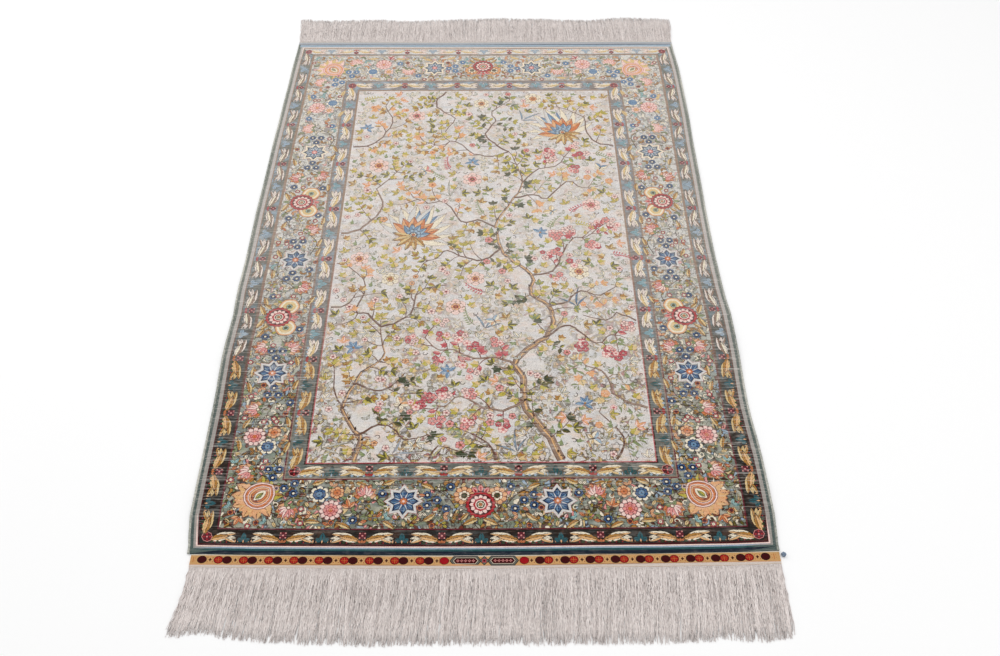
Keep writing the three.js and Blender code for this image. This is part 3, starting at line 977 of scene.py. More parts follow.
FIELD_BOUGHS = (
    # Style, width at the foot and listed points
    # A tree from the front right, which winds back up the field
    ("olive", 17, ((640, 184), (622, 232), (600, 262), (574, 318), (578, 366), (560, 404),
                   (586, 446), (622, 476), (640, 520), (632, 560), (598, 596), (600, 650),
                   (560, 690), (534, 730), (524, 800), (544, 850), (566, 896), (588, 950),
                   (574, 1010), (556, 1060))),
    ("olive", 5, ((556, 1060), (520, 1092), (500, 1130), (524, 1180), (514, 1214), (560, 1262))),
    ("rose", 6, ((574, 318), (536, 296), (496, 304), (452, 330), (424, 306), (392, 300))),
    ("rose", 6, ((560, 404), (524, 424), (480, 420), (440, 446), (404, 444), (380, 476))),
    ("rose", 5, ((622, 476), (660, 506), (690, 492), (724, 460), (752, 482), (782, 474))),
    ("pale", 5, ((632, 560), (672, 574), (700, 606), (740, 592), (786, 630))),
    ("rose", 5, ((600, 650), (644, 664), (664, 700), (690, 760), (724, 768), (756, 800))),
    ("lime", 5, ((534, 730), (496, 696), (460, 700), (420, 726), (396, 700), (366, 692))),
    ("peach", 5, ((520, 800), (484, 824), (446, 816), (410, 880), (372, 876), (336, 898))),
    ("pale", 5, ((566, 896), (610, 906), (640, 894), (690, 950), (724, 930), (764, 936))),
    ("rose", 4, ((588, 950), (626, 996), (664, 1006), (700, 1060))),
    ("peach", 4, ((556, 1060), (516, 1042), (470, 1054), (430, 1100), (390, 1086), (352, 1100))),
    # A shrub from the front left
    ("lime", 11, ((262, 184), (272, 226), (252, 262), (230, 300), (240, 340), (262, 390),
                  (300, 426), (292, 470), (290, 506))),
    ("olive", 5, ((264, 240), (300, 262), (328, 256), (350, 230), (394, 240))),
    ("lime", 4, ((232, 300), (214, 334), (206, 400))),
    ("olive", 5, ((246, 364), (290, 346), (320, 352), (344, 386))),
    ("peach", 5, ((290, 506), (262, 540), (236, 552), (250, 620), (214, 672))),
    ("lime", 5, ((290, 506), (330, 522), (354, 556), (362, 606), (420, 622))),
    # Boughs that reach in from the sides
    ("lime", 6, ((183, 780), (222, 792), (246, 820), (270, 866), (252, 926), (276, 960), (304, 1004))),
    ("peach", 5, ((183, 1080), (226, 1088), (250, 1120), (272, 1172), (250, 1240))),
    ("pale", 6, ((808, 300), (770, 316), (746, 336), (730, 390), (682, 404))),
    ("lime", 5, ((808, 1080), (766, 1096), (748, 1130), (742, 1196), (680, 1236))),
    ("lime", 5, ((400, 1300), (376, 1262), (386, 1226), (424, 1190), (402, 1136))),
    ("olive", 5, ((520, 184), (506, 222), (460, 250))),
    ("pale", 5, ((740, 184), (756, 236), (716, 290))),
    ("olive", 4, ((398, 184), (414, 214), (446, 206))),
    ("pale", 4, ((808, 520), (770, 540), (748, 520), (700, 536))),
    ("olive", 4, ((183, 560), (214, 566), (232, 600))),
)

BOUGH_STYLES = {
    # Stem, then the inks, fills and lights of its leaves and of its blossoms
    "olive": ("bark", ("moss olive lime", "brown moss olive", "moss fern lime", "olive lime lime"),
              ("wine pink gold",)),
    "lime": ("bark", ("olive lime wheat", "olive lime lime", "moss olive lime", "brown gold lime"),
             ("russet apricot gold", "wine blush rose")),
    "pale": ("taupe", ("olive bone fern", "olive fern bone", "olive wheat cream", "orange apricot wheat"),
             ("rose blush rose", "orange apricot cream")),
    "rose": ("russet", ("olive fern lime", "olive lime wheat", "wine rose pink"),
             ("wine pink blush", "rose blush pink", "wine blush blush", "wine rose blush")),
    "peach": ("bark", ("olive lime wheat", "brown gold wheat", "orange apricot blush"),
              ("orange apricot wine", "wine blush rose")),
}

FIELD_LARGE = (
    # Place, turn, motif and its arguments
    (690, 1130, -24, great_palmette),
    (340, 770, 24, great_palmette),
    (250, 1010, 0, garden_rose, "blush apricot red", 25),
    (470, 960, 0, garden_rose, "blush pink wine", 24),
    (700, 660, 0, garden_rose, "cream apricot red", 24),
    (440, 560, 0, garden_rose, "blush apricot red", 23),
    (740, 870, 0, garden_rose, "blush pink rose", 23),
    (330, 1200, 0, garden_rose, "blush pink wine", 23),
    (620, 1270, 0, garden_rose, "cream apricot orange", 23),
    (230, 700, 0, garden_rose, "blush apricot red", 22),
    (490, 1250, 0, garden_rose, "cream apricot russet", 21),
    (480, 640, 0, garden_rose, "blush apricot red", 21),
    (300, 640, 0, garden_rose, "cream wheat orange", 20),
    (690, 310, 20, iris),
    (240, 450, -30, iris),
    (470, 1020, 10, iris),
    (430, 390, -60, iris),
    (620, 780, 60, iris),
    (210, 1150, 30, iris),
    (500, 500, 10, grass_blades, "navy sky"),
    (200, 210, 50, grass_blades, "olive bone"),
    (330, 196, 60, grass_blades, "taupe mist"),
    (690, 560, -20, grass_blades, "navy powder"),
    (560, 200, -30, grass_blades, "brown mist"),
    (700, 200, 20, grass_blades, "olive bone"),
    (590, 1180, 30, grass_blades, "navy sky"),
    (420, 900, -30, grass_blades, "olive bone"),
    (340, 310, 35, butterfly, "apricot", "cream"),
    (520, 520, -30, butterfly, "sky", "apricot"),
    (360, 990, 60, butterfly, "pink", "sky"),
    (650, 850, -50, butterfly, "wheat", "sky"),
    (770, 1000, 20, butterfly, "powder", "cream"),
    (700, 230, 80, butterfly, "sky", "wheat"),
)

FIELD_FILLERS = (
    # The radius that a motif needs, how often it comes, the motif and its arguments
    (19, 4, feathery_sprig, "olive", "fern"),
    (19, 4, feathery_sprig, "wine", "rose"),
    (19, 3, feathery_sprig, "olive", "lime"),
    (11, 4, leaf_fan, "olive lime wheat"),
    (11, 2, leaf_fan, "olive gold wheat"),
    (11, 4, leaf_fan, "olive bone cream"),
    (11, 3, leaf_fan, "taupe cream bone"),
    (11, 3, leaf_fan, "moss olive lime"),
    (11, 2, leaf_fan, "orange apricot blush"),
    (10, 4, vine_leaf, "olive lime", 19),
    (10, 2, vine_leaf, "olive gold", 18),
    (9, 3, vine_leaf, "moss fern", 17),
    (8, 3, leaf_pair, "olive bone"),
    (9, 2, blossom, "wine blush pink", 8),
    (7, 2, *DARK_CURL),
)


def in_field(x, y, margin):
    """Whether a place lies in the field, some way from its sides."""
    return (FIELD.left + margin < x < FIELD.right - margin
            and FIELD.front + margin < y < FIELD.back - margin)


def way(degrees):
    """The step of one along a heading."""
    return np.array((math.sin(math.radians(degrees)), math.cos(math.radians(degrees))))


def grow_twig(chart, start, heading, length, style, rng):
    """A twig with leaves, ending in blossoms or a leaf; it stays out if its end isn't free."""
    stem_dye, leaf_dyes, blossom_dyes = BOUGH_STYLES[style]
    bow = rng.uniform(-40, 40)
    line = [np.array(start, float)]
    for step in range(4):
        line.append(line[-1] + way(heading + bow * step / 3 + rng.uniform(-12, 12)) * length / 4)
    tip = line[-1]
    if not in_field(*tip, 15) or not chart.is_free(*tip, 6) or not chart.is_free(*line[2], 3):
        return
    chart.draw([(stem_dye, ribbon(line, 2.4, 1.2))])
    end_turn = heading + bow
    for x, y in line[1:4]:
        for side in (-1, 1):
            dyes = rng.choice(leaf_dyes)
            size = round(rng.uniform(13, 21))
            turn = heading + side * rng.uniform(38, 84)
            middle = way(turn) * size * 0.6 + (x, y)
            if in_field(*middle, 10) and chart.is_free(*middle, size * 0.2):
                leaf_kind = plain_leaf if rng.random() < 0.55 else vine_leaf
                chart.draw(put(leaf_kind(dyes, size), x, y, turn))
    if style == "rose" or rng.random() < 0.3:
        count = rng.choice((3, 4, 5)) if style == "rose" else 1
        for place in range(count):
            dyes = rng.choice(blossom_dyes)
            radius = rng.choice((7, 8, 9, 10))
            turn = place * 360 / count + end_turn + rng.uniform(-24, 24)
            away = rng.uniform(7, 11) if count > 1 else 3
            x, y = tip + way(turn) * away
            if in_field(x, y, 11):
                chart.draw(put(blossom(dyes, radius), x, y))
    else:
        dyes = rng.choice(leaf_dyes)
        for turn in (-44, 0, 44):
            one = plain_leaf(dyes, round(rng.uniform(13, 19)))
            chart.draw(put(one, *tip, end_turn + turn))


def lay_bough(chart, line, width, rng):
    """A bough from its foot to its tip; thick ones have a light side, grain and knots."""
    chart.draw([("bark", ribbon(line, width, 2.0))])
    if width >= 6:
        chart.fill("taupe", ribbon(line + (0.4, 0.2), width - 2.2, 0.8))
    if width > 10:
        chart.fill("sand", ribbon(line[:-4] + (1.2, 0), width * 0.26, 1.2))
        for a, b in zip(line[1:-6:2], line[3:-4:2]):
            grain = ribbon((a, a * 0.4 + b * 0.6, b), 1.3, 0.4)
            chart.fill("brown", grain + (rng.uniform(-4, 3), 0))
            knot = leaf(rng.uniform(8, 13), 5, steps=1)
            chart.fill("brown", moved(knot, *a, rng.uniform(-90, 90)))


def lay_field(chart, rng):
    """The garden of the field: large flowers, boughs with twigs, then small fillers."""
    for x, y, turn, motif, *arguments in FIELD_LARGE:
        chart.draw(put(motif(*arguments), x, y, turn))
    lines = []
    for _, width, points in FIELD_BOUGHS:
        line = smooth_line(points, 3)
        line[1:-1] += [(rng.uniform(-2.6, 2.6), rng.uniform(-2.6, 2.6)) for _ in line[1:-1]]
        lines.append(line)
        lay_bough(chart, line, width, rng)
    for (style, _, _), line in zip(FIELD_BOUGHS, lines):
        for place, heading in walk(line[1:], 12):
            for side in (1, -1):
                turn = heading + side * rng.uniform(26, 80)
                grow_twig(chart, place, turn, rng.uniform(24, 60), style, rng)
        grow_twig(chart, line[-1], heading, 26, style, rng)
    bag = bag_of(FIELD_FILLERS)
    for attempt in range(FIELD_TRIES):
        radius, _, motif, *arguments = rng.choice(bag)
        x = rng.uniform(FIELD.left + radius + 1, FIELD.right - radius - 1)
        y = rng.uniform(FIELD.front + radius + 1, FIELD.back - radius - 1)
        if chart.is_free(x, y, radius * 0.74):
            turn = rng.uniform(-100, 100)
            chart.draw(put(put(motif(*arguments), 0, -radius * 0.8), x, y, turn))
    places = []
    for x in np.arange(FIELD.left + 24, FIELD.right - 12, 44):
        places += [(x, FIELD.front + 6, 0), (x, FIELD.back - 6, 180)]
    for y in np.arange(FIELD.front + 24, FIELD.back - 12, 44):
        places += [(FIELD.left + 6, y, 90), (FIELD.right - 6, y, -90)]
    for place in places:
        chart.draw(put(curl("wine", 4.2, 0.7, 1.3, 0.9), *place))


def pile_chart():
    """The whole pattern of the pile."""
    rng = random.Random(PATTERN_SEED)
    chart = Chart(RIM, ground("lichen", "silver"))
    lay_frames(chart)
    lay_field(chart, rng)
    lay_main_border(chart, rng)
    lay_guard(chart, OUTER_GUARD, OUTER_LINE, 7, OUTER_TONES, OUTER_FAR_TONES, OUTER_BACK_TONES)
    lay_guard(chart, INNER_GUARD, FIELD_LINE, 5, INNER_TONES, INNER_FAR_TONES, INNER_FAR_TONES)
    return chart


# The rug's plan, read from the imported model

STATION_GAP = 2 * MM  # points further apart than this belong to different stations
LIFT_COLUMNS = 72
LIFT_ROWS = 128


def node_points(node):
    """A node's points as an array."""
    return np.array([vertex.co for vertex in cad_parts[node].data.vertices])


def stations(node, axis):
    """Groups of a node's points that lie at one place along an axis."""
    points = node_points(node)
    points = points[points[:, axis].argsort()]
    cuts = np.flatnonzero(np.diff(points[:, axis]) > STATION_GAP) + 1
    return np.split(points, cuts)


def edge_of(node, axis, end):
    """A node's edge: places along an axis, and the least or the most that it reaches across."""
    groups = stations(node, axis)
    along = np.array([group[:, axis].mean() for group in groups])
    return along, np.array([getattr(group[:, 1 - axis], end)() for group in groups])


class Plan:
    """Where the rug's edges run and how high it lies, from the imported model."""

    def __init__(self):
        low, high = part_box("pile")
        self.middle = np.array(((low.x + high.x) / 2, (low.y + high.y) / 2))
        self.sides = {}
        for name, node, axis, end, gap in (
            ("left", "selvedge_left", 1, "max", JOINT_GAP),
            ("right", "selvedge_right", 1, "min", -JOINT_GAP),
            ("front", "end_band_front", 0, "max", JOINT_GAP),
            ("back", "end_band_back", 0, "min", -JOINT_GAP),
        ):
            along, across = edge_of(node, axis, end)
            self.sides[name] = (along, across + gap)
        self.read_lift()

    def side(self, name, place):
        """How far across one edge lies at places along it."""
        return np.interp(place, *self.sides[name])

    def read_lift(self):
        """Heights of the rug's underside on an even grid, smoothed."""
        trees = []
        for node in ("pile", "end_band_front", "end_band_back"):
            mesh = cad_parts[node].data
            polygons = [tuple(face.vertices) for face in mesh.polygons]
            trees.append(BVHTree.FromPolygons([v.co for v in mesh.vertices], polygons))
        low, high = FRAME_BOX
        self.grid_x = np.linspace(low[0], high[0], LIFT_COLUMNS)
        self.grid_y = np.linspace(low[1], high[1], LIFT_ROWS)
        heights = np.zeros((LIFT_ROWS, LIFT_COLUMNS))
        for row, y in enumerate(self.grid_y):
            for column, x in enumerate(self.grid_x):
                for tree in trees:
                    hit = tree.ray_cast(Vector((x, y, -1)), Vector((0, 0, 1)))[0]
                    if hit is not None:
                        heights[row, column] = max(0.0, hit.z)
        for _ in range(4):
            padded = np.pad(heights, 1, mode="edge")
            heights = ((padded[:-2, 1:-1] + padded[2:, 1:-1] + 2 * padded[1:-1, 1:-1]) / 4).T
        self.heights = heights

    def lift(self, x, y):
        """How far the rug stands off the floor at places."""
        column = np.interp(x, self.grid_x, np.arange(LIFT_COLUMNS))
        row = np.interp(y, self.grid_y, np.arange(LIFT_ROWS))
        left = np.minimum(column.astype(int), LIFT_COLUMNS - 2)
        low = np.minimum(row.astype(int), LIFT_ROWS - 2)
        across, up = column - left, row - low
        front = self.heights[low, left] * (1 - across) + self.heights[low, left + 1] * across
        back = self.heights[low + 1, left] * (1 - across) + self.heights[low + 1, left + 1] * across
        return front * (1 - up) + back * up

    def from_chart(self, points):
        """Places on the rug of points of the chart. The borders follow the rug's wavy edges,
        less and less towards the field."""
        def onto_rug(place):
            """A place of the chart as if the rug lay straight."""
            return (place - np.array(CHART_MIDDLE)) * MM + self.middle

        def nearness(away):
            """How much of an edge's waviness is left at a distance from it on the chart."""
            return np.clip(1 - (away - STIFF_RIM) / FADE_DEPTH, 0, 1)

        x, y = points[:, 0], points[:, 1]
        left, front = onto_rug((RIM.left, RIM.front))
        right, back = onto_rug((RIM.right, RIM.back))
        flat_x, flat_y = onto_rug(points).T
        new_y = flat_y + nearness(y - RIM.front) * (self.side("front", flat_x) - front)
        new_y = new_y + nearness(RIM.back - y) * (self.side("back", flat_x) - back)
        new_x = flat_x + nearness(x - RIM.left) * (self.side("left", new_y) - left)
        new_x = new_x + nearness(RIM.right - x) * (self.side("right", new_y) - right)
        return new_x, new_y

    def pile_height(self, x, y):
        """The pile's thickness: it is beaten down at the rim."""
        to_side = np.minimum(x - self.side("left", y), self.side("right", y) - x)
        to_end = np.minimum(y - self.side("front", x), self.side("back", x) - y)
        share = np.clip(np.minimum(to_side, to_end) / RIM_WIDTH, 0, 1)
        return RIM_HEIGHT + (PILE_HEIGHT - RIM_HEIGHT) * share ** 0.6


# Meshes

WELD_DISTANCE = 0.02  # points of the chart nearer than this become one
TOP_PITCH = 26  # chart distance of the points that let flat areas follow the ripples
UNDER_PITCH = 40
Sheet = namedtuple("Sheet", "tops unders faces under_faces loop under_loop")


def is_inside(points, outline):
    """Which points lie within an outline, by how often it winds round them."""
    x, y = points[:, :1], points[:, 1:]
    x0, y0 = outline[:, 0], outline[:, 1]
    x1, y1 = np.roll(x0, -1), np.roll(y0, -1)
    side = (x1 - x0) * (y - y0) - (x - x0) * (y1 - y0)
    upward = (y0 <= y) & (y1 > y) & (side > 0)
    downward = (y0 > y) & (y1 <= y) & (side < 0)
    return upward.sum(axis=1) != downward.sum(axis=1)


def topmost(centres, holders, outlines):
    """For each triangle, the last outline that truly holds its centre."""
    members = {}
    for triangle, held in enumerate(holders):
        for holder in held:
            members.setdefault(holder, []).append(triangle)
    chosen = np.zeros(len(holders), int)
    for holder in sorted(members)[1:]:
        group = np.array(members[holder])
        chosen[group[is_inside(centres[group], outlines[holder])]] = holder
    return chosen


def triangulate(outlines, loose):
    """Triangles over overlapping outlines, each with the last outline that holds it."""
    points = []
    faces = []
    for outline in outlines:
        faces.append(list(range(len(points), len(points) + len(outline))))
        points.extend(Vector(point) for point in outline)
    points.extend(Vector(point) for point in loose)
    result = delaunay_2d_cdt(points, [], faces, 1, WELD_DISTANCE, True)
    vertices = np.array(result[0])
    kept = [(face, held) for face, held in zip(result[2], result[5]) if 0 in held]
    triangles = [face for face, _ in kept]
    centres = vertices[np.array(triangles)].mean(axis=1)
    return vertices, triangles, topmost(centres, [held for _, held in kept], outlines)


def outer_loop(faces):
    """The one closed loop of edges that have a face on one side only."""
    edges = {edge for face in faces for edge in zip(face, (*face[1:], face[0]))}
    after = {a: b for a, b in edges if (b, a) not in edges}
    start = next(iter(after))
    loop = [start]
    while after[loop[-1]] != start:
        loop.append(after[loop[-1]])
    return loop


def grid_points(box, pitch):
    """Loose points inside a frame, so that a flat area can follow the rug's ripples."""
    across = np.arange(box.left + pitch * 0.7, box.right - pitch * 0.4, pitch)
    along = np.arange(box.front + pitch * 0.7, box.back - pitch * 0.4, pitch)
    return [(x, y) for y in along for x in across]


def closed_sheet(name, sheet, shapes, places, crease):
    """A closed mesh: its top, its underside and a wall between the loops round them."""
    shift = len(sheet.tops)
    below = [index + shift for index in sheet.under_loop]
    polygons = [list(face) for face in sheet.faces]
    polygons += [[index + shift for index in reversed(face)] for face in sheet.under_faces]
    for step, vertex in enumerate(sheet.loop):
        after = (step + 1) % len(sheet.loop)
        polygons.append([below[step], below[after], sheet.loop[after], vertex])
    mesh = bpy.data.meshes.new(name)
    mesh.from_pydata(np.vstack((sheet.tops, sheet.unders)).tolist(), [], polygons)
    paint(mesh, shapes, places)
    lay_out(mesh, len(sheet.faces), len(sheet.under_faces))
    mesh.shade_smooth()
    mesh.set_sharp_from_angle(angle=math.radians(crease))
    return mesh


def charted_sheet(name, chart, place, under_tone):
    """A closed sheet from a chart: its dyed top, its sides and a plain underside.
    place(points) gives x, y, floor height and thickness for points of the chart."""
    flat, faces, holders = triangulate([outline for _, outline, _ in chart.shapes],
                                       grid_points(chart.box, TOP_PITCH))
    loop = outer_loop(faces)
    under, under_faces, _ = triangulate([flat[loop]], grid_points(chart.box, UNDER_PITCH))
    x, y, floor, thickness = place(flat)
    unders = np.column_stack(place(under)[:3])
    shapes = [chart.shapes[holder] for holder in holders]
    shapes += [(under_tone(under[face].mean(axis=0)), None, ()) for face in under_faces]
    shapes += [(under_tone(flat[vertex]), None, ()) for vertex in loop]
    sheet = Sheet(np.column_stack((x, y, floor + thickness)), unders, faces, under_faces, loop,
                  range(len(loop)))
    return closed_sheet(name, sheet, shapes, np.vstack((flat, under)), 40)


def numbers(items, key, width=1, kind=float):
    """One property of a mesh's items as an array."""
    values = np.zeros(len(items) * width, kind)
    items.foreach_get(key, values)
    return values


def dye_colours():
    """Every dye as a colour with full cover."""
    dyes = bpy.context.scene.rug_dyes
    return {name: (*getattr(dyes, name), 1) for name in RugDyes.__annotations__}


def paint(mesh, shapes, places):
    """Gives each face the three dyes and the form of its shape, and each corner its place in it."""
    colours = dye_colours()
    dyes, forms, origins, turns = [], [], [], []
    known = {}
    for tone, outline, guides in shapes:
        if isinstance(tone, str):
            tone = Paint("plain", (tone, tone, tone), 0.0, 0.0)
        dyes.append([colours[name] for name in tone.dyes])
        forms.append((FORMS[tone.form], tone.bend, tone.edge))
        if len(guides) and id(outline) not in known:
            known[id(outline)] = np.linalg.inv((guides[1:] - guides[0]).T)
        origins.append(guides[0] if len(guides) else (0, 0))
        turns.append(known[id(outline)] if len(guides) else np.eye(2))
    corner_counts = numbers(mesh.polygons, "loop_total", kind=int)

    def per_corner(values):
        """A value of each face, for each of its corners."""
        return np.repeat(np.array(values), corner_counts, axis=0)

    def add(layers, name, kind, domain, key, values):
        """A named layer of values on the mesh."""
        layer = layers.new(name, kind, domain)
        layer.data.foreach_set(key, np.asarray(values, np.float32).ravel())

    for name, values in zip(("dye", "second_dye", "third_dye"), zip(*dyes)):
        add(mesh.color_attributes, name, "FLOAT_COLOR", "CORNER", "color", per_corner(values))
    away = places[numbers(mesh.loops, "vertex_index", kind=int)] - per_corner(origins)
    local = np.einsum("nij,nj->ni", per_corner(turns), away)
    add(mesh.attributes, "place_in_shape", "FLOAT_VECTOR", "CORNER", "vector",
        np.pad(local, ((0, 0), (0, 1))))
    add(mesh.attributes, "form", "FLOAT_VECTOR", "FACE", "vector", forms)


def lay_out(mesh, top_count, under_count):
    """A flat texture layout: the top, the underside beside it, and the sides in one strip."""
    co = numbers(mesh.vertices, "co", 3).reshape(-1, 3)
    share = (co - co.min(axis=0)) / (co.max(axis=0) - co.min(axis=0))
    share = share[numbers(mesh.loops, "vertex_index", kind=int)]
    uv = np.column_stack((0.01 + 0.76 * share[:, 0], 0.01 + 0.98 * share[:, 1]))
    counts = numbers(mesh.polygons, "loop_total", kind=int)
    starts = np.concatenate(([0], counts.cumsum()))
    under = slice(starts[top_count], starts[top_count + under_count])
    uv[under, 0] = 0.79 + 0.17 * share[under, 0]
    walls = len(counts) - top_count - under_count
    steps = np.arange(walls + 1) / walls
    low, high = steps[:-1], steps[1:]
    near, far = np.full(walls, 0.975), np.full(walls, 0.99)
    strip = np.column_stack((near, low, near, high, far, high, far, low))
    uv[under.stop :] = strip.reshape(-1, 2)
    mesh.uv_layers.new(name="OFBake").data.foreach_set("uv", uv.astype(np.float32).ravel())


def in_scene(name, data):
    """A new object in the scene."""
    made = bpy.data.objects.new(name, data)
    bpy.context.scene.collection.objects.link(made)
    return made


def finish_piece(name, mesh, material, node):
    """Puts a finished mesh in the scene as a piece that stands for its node."""
    mesh.materials.append(material)
    piece = in_scene(name, mesh)
    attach(piece, "root")
    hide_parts(node)


# Materials

class Finish:
    """A node material that is put together one node at a time."""

    def __init__(self, name):
        self.material = bpy.data.materials.new(name)
        self.material.use_nodes = True
        self.nodes = self.material.node_tree.nodes
        self.links = self.material.node_tree.links
        self.shader = self.nodes["Principled BSDF"]
        self.place = self.node("ShaderNodeTexCoord").outputs["Object"]

    def feed(self, socket, value):
        """Links another node's output to a socket, or sets the socket's own value."""
        if isinstance(value, bpy.types.NodeSocket):
            self.links.new(value, socket)
        else:
            socket.default_value = value

    def node(self, kind, inputs=(), **settings):
        """Adds a node; inputs are pairs of a socket and a value or another node's output."""
        made = self.nodes.new(kind)
        for key, value in settings.items():
            setattr(made, key, value)
        for socket, value in inputs:
            self.feed(made.inputs[socket], value)
        return made

    def set(self, **values):
        """Feeds the shader's own sockets."""
        for name, value in values.items():
            name = name.replace("_", " ").title().replace("Ior", "IOR")
            self.feed(self.shader.inputs[name], value)

    def attribute(self, name, output="Color"):
        """An attribute of the mesh."""
        return self.node("ShaderNodeAttribute", attribute_name=name).outputs[output]

    def parts(self, vector):
        """The three numbers of a vector."""
        return self.node("ShaderNodeSeparateXYZ", (("Vector", vector),)).outputs

    def noise(self, scale, detail=2.0, roughness=0.5, shift=(0, 0, 0)):
        """Smooth noise over the rug, from 0 to 1, stretched by its scale along each axis."""
        mapping = self.node("ShaderNodeMapping", (("Vector", self.place), ("Scale", scale),
                                                  ("Location", shift)))
        made = self.node("ShaderNodeTexNoise", (("Vector", mapping.outputs[0]), ("Scale", 1.0),
                                                ("Detail", detail), ("Roughness", roughness)))
        return made.outputs["Fac"]

    def math(self, operation, *values):
        """One sum on numbers or outputs."""
        return self.node("ShaderNodeMath", enumerate(values), operation=operation).outputs[0]

    def ramp(self, value, low, high, to_low=0.0, to_high=1.0, kind="LINEAR"):
        """A value carried from one range to another."""
        inputs = enumerate((value, low, high, to_low, to_high))
        return self.node("ShaderNodeMapRange", inputs, interpolation_type=kind).outputs[0]

    def scaled(self, colour, amount):
        """A colour made lighter or darker by a factor."""
        return self.node("ShaderNodeVectorMath", ((0, colour), ("Scale", amount)),
                         operation="SCALE").outputs[0]

    def mix(self, share, first, second):
        """Two colours mixed by a share of the second."""
        made = self.node("ShaderNodeMix", ((0, share), (6, first), (7, second)), data_type="RGBA")
        return made.outputs[2]

    def mix_value(self, share, first, second):
        """Two values mixed by a share of the second."""
        return self.node("ShaderNodeMix", ((0, share), (2, first), (3, second))).outputs[0]

    def bump(self, height, depth, strength=1.0):
        """Relief from a height between 0 and 1."""
        made = self.node("ShaderNodeBump", (("Height", height), ("Distance", depth),
                                            ("Strength", strength)))
        self.links.new(made.outputs[0], self.shader.inputs["Normal"])


def shade(red, green, blue):
    """A colour given as 0 to 255 display values, as a shader's socket takes it."""
    return (*linear(red, green, blue), 1.0)


def mottled_ground(finish, cells, front, painted_sheen, mottle):
    """Small leaf-like cells over the main border's ground, each of one dye with a dark edge,
    and soft clouds of paler dyes between them; the field has clouds, faint strokes and
    clusters of pale cells; the guards have clouds only."""
    maths, mix = finish.math, finish.mix
    dyes = dye_colours()

    def clouds(colour, noise, low, high, name, most):
        """A colour with soft patches of another dye."""
        return mix(finish.ramp(noise, low, high, 0.0, most), colour, dyes[name])

    cloud = finish.noise((26, 34, 1), 2, 0.6, (2, 8, 0))
    tint = finish.noise((9, 60, 1), 3, 0.6, (4, 1, 0))
    spots = finish.noise((38, 52, 1), 3, 0.6, (6, 3, 0))
    more_spots = finish.noise((34, 46, 1), 3, 0.6, (1, 9, 0))
    warp = finish.node("ShaderNodeTexNoise", (("Vector", finish.place), ("Scale", 60.0),
                                              ("Detail", 1.0))).outputs["Color"]
    inputs = ((0, warp), (1, (2.8, 4.2, 0)), (2, finish.scaled(cells, 0.17)))
    warp = finish.node("ShaderNodeVectorMath", inputs, operation="MULTIPLY_ADD").outputs[0]
    inputs = (("Vector", warp), ("Scale", 1.0))
    leaves = finish.node("ShaderNodeTexVoronoi", inputs).outputs["Color"]
    pick = finish.node("ShaderNodeSeparateColor", (("Color", leaves),)).outputs[0]
    edges = finish.node("ShaderNodeTexVoronoi", inputs, feature="DISTANCE_TO_EDGE").outputs["Distance"]

    def inked(width, least):
        """The edges of the cells that have an ink line."""
        return maths("MULTIPLY", maths("LESS_THAN", edges, width), maths("GREATER_THAN", pick, least))

    border = clouds(front, cloud, 0.46, 0.74, "cream", 0.5)
    border = clouds(border, tint, 0.52, 0.72, "aqua", 0.3)
    border = clouds(border, tint, 0.46, 0.28, "blush", 0.3)
    border = clouds(border, spots, 0.5, 0.68, "fern", 0.5)
    for start, name in ((0.48, "gold"), (0.55, "fern"), (0.62, "cream"), (0.74, "wheat"),
                        (0.8, "mist"), (0.86, "olive"), (0.92, "russet"), (0.96, "pink")):
        border = mix(maths("GREATER_THAN", pick, start), border, dyes[name])
    border = mix(maths("MULTIPLY", inked(0.13, 0.3), 0.9), border, dyes["brown"])

    field = clouds(front, spots, 0.52, 0.7, "lime", 0.24)
    field = clouds(field, more_spots, 0.52, 0.7, "apricot", 0.34)
    field = clouds(field, cloud, 0.52, 0.7, "pearl", 0.5)
    field = clouds(field, tint, 0.52, 0.72, "mist", 0.25)
    field = clouds(field, tint, 0.46, 0.28, "blush", 0.4)
    sprays = field
    for start, name, share in ((0.36, "bone", 0.5), (0.5, "lime", 0.7), (0.6, "gold", 0.55),
                               (0.68, "wheat", 0.6), (0.76, "apricot", 0.6), (0.82, "mist", 0.7),
                               (0.86, "olive", 0.6), (0.94, "rose", 0.5)):
        sprays = mix(maths("MULTIPLY", maths("GREATER_THAN", pick, start), share), sprays, dyes[name])
    # Painted sheen: towards the back the cells' ink pales from brown to taupe and the pale clusters thin
    # out.
    pen = mix(painted_sheen, dyes["brown"], dyes["taupe"])
    sprays = mix(maths("MULTIPLY", inked(0.11, 0.34), 0.8), sprays, pen)
    clusters = finish.ramp(finish.noise((17, 14, 1), 2, 0.5, (8, 4, 0)), 0.45, 0.49)
    clusters = maths("MULTIPLY", clusters, maths("MULTIPLY_ADD", painted_sheen, -0.7, 1.0))
    field = mix(clusters, field, sprays)
    stroke = finish.noise((34, 30, 1), 1, 0.5, (5, 5, 0))
    stroke = maths("COMPARE", maths("PINGPONG", stroke, 0.05), 0.025, 0.0027)
    patchy = finish.ramp(finish.noise((11, 11, 1), 1, 0.5, (3, 7, 0)), 0.4, 0.52, 0.0, 0.55)
    field = mix(maths("MULTIPLY", stroke, patchy), field, dyes["taupe"])

    # Painted sheen: the guards' clouds grow and turn from teal to mist towards the back.
    share = maths("MULTIPLY_ADD", painted_sheen, 0.8, 0.2)
    share = maths("MULTIPLY", share, finish.ramp(spots, 0.46, 0.62, 0.0, 0.75))
    guard = mix(share, front, mix(painted_sheen, dyes["teal"], dyes["mist"]))
    guard = clouds(guard, more_spots, 0.54, 0.66, "bark", 0.4)
    worked = mix(maths("GREATER_THAN", mottle, 0.8), field, border)
    return mix(maths("LESS_THAN", mottle, 0.4), worked, guard)


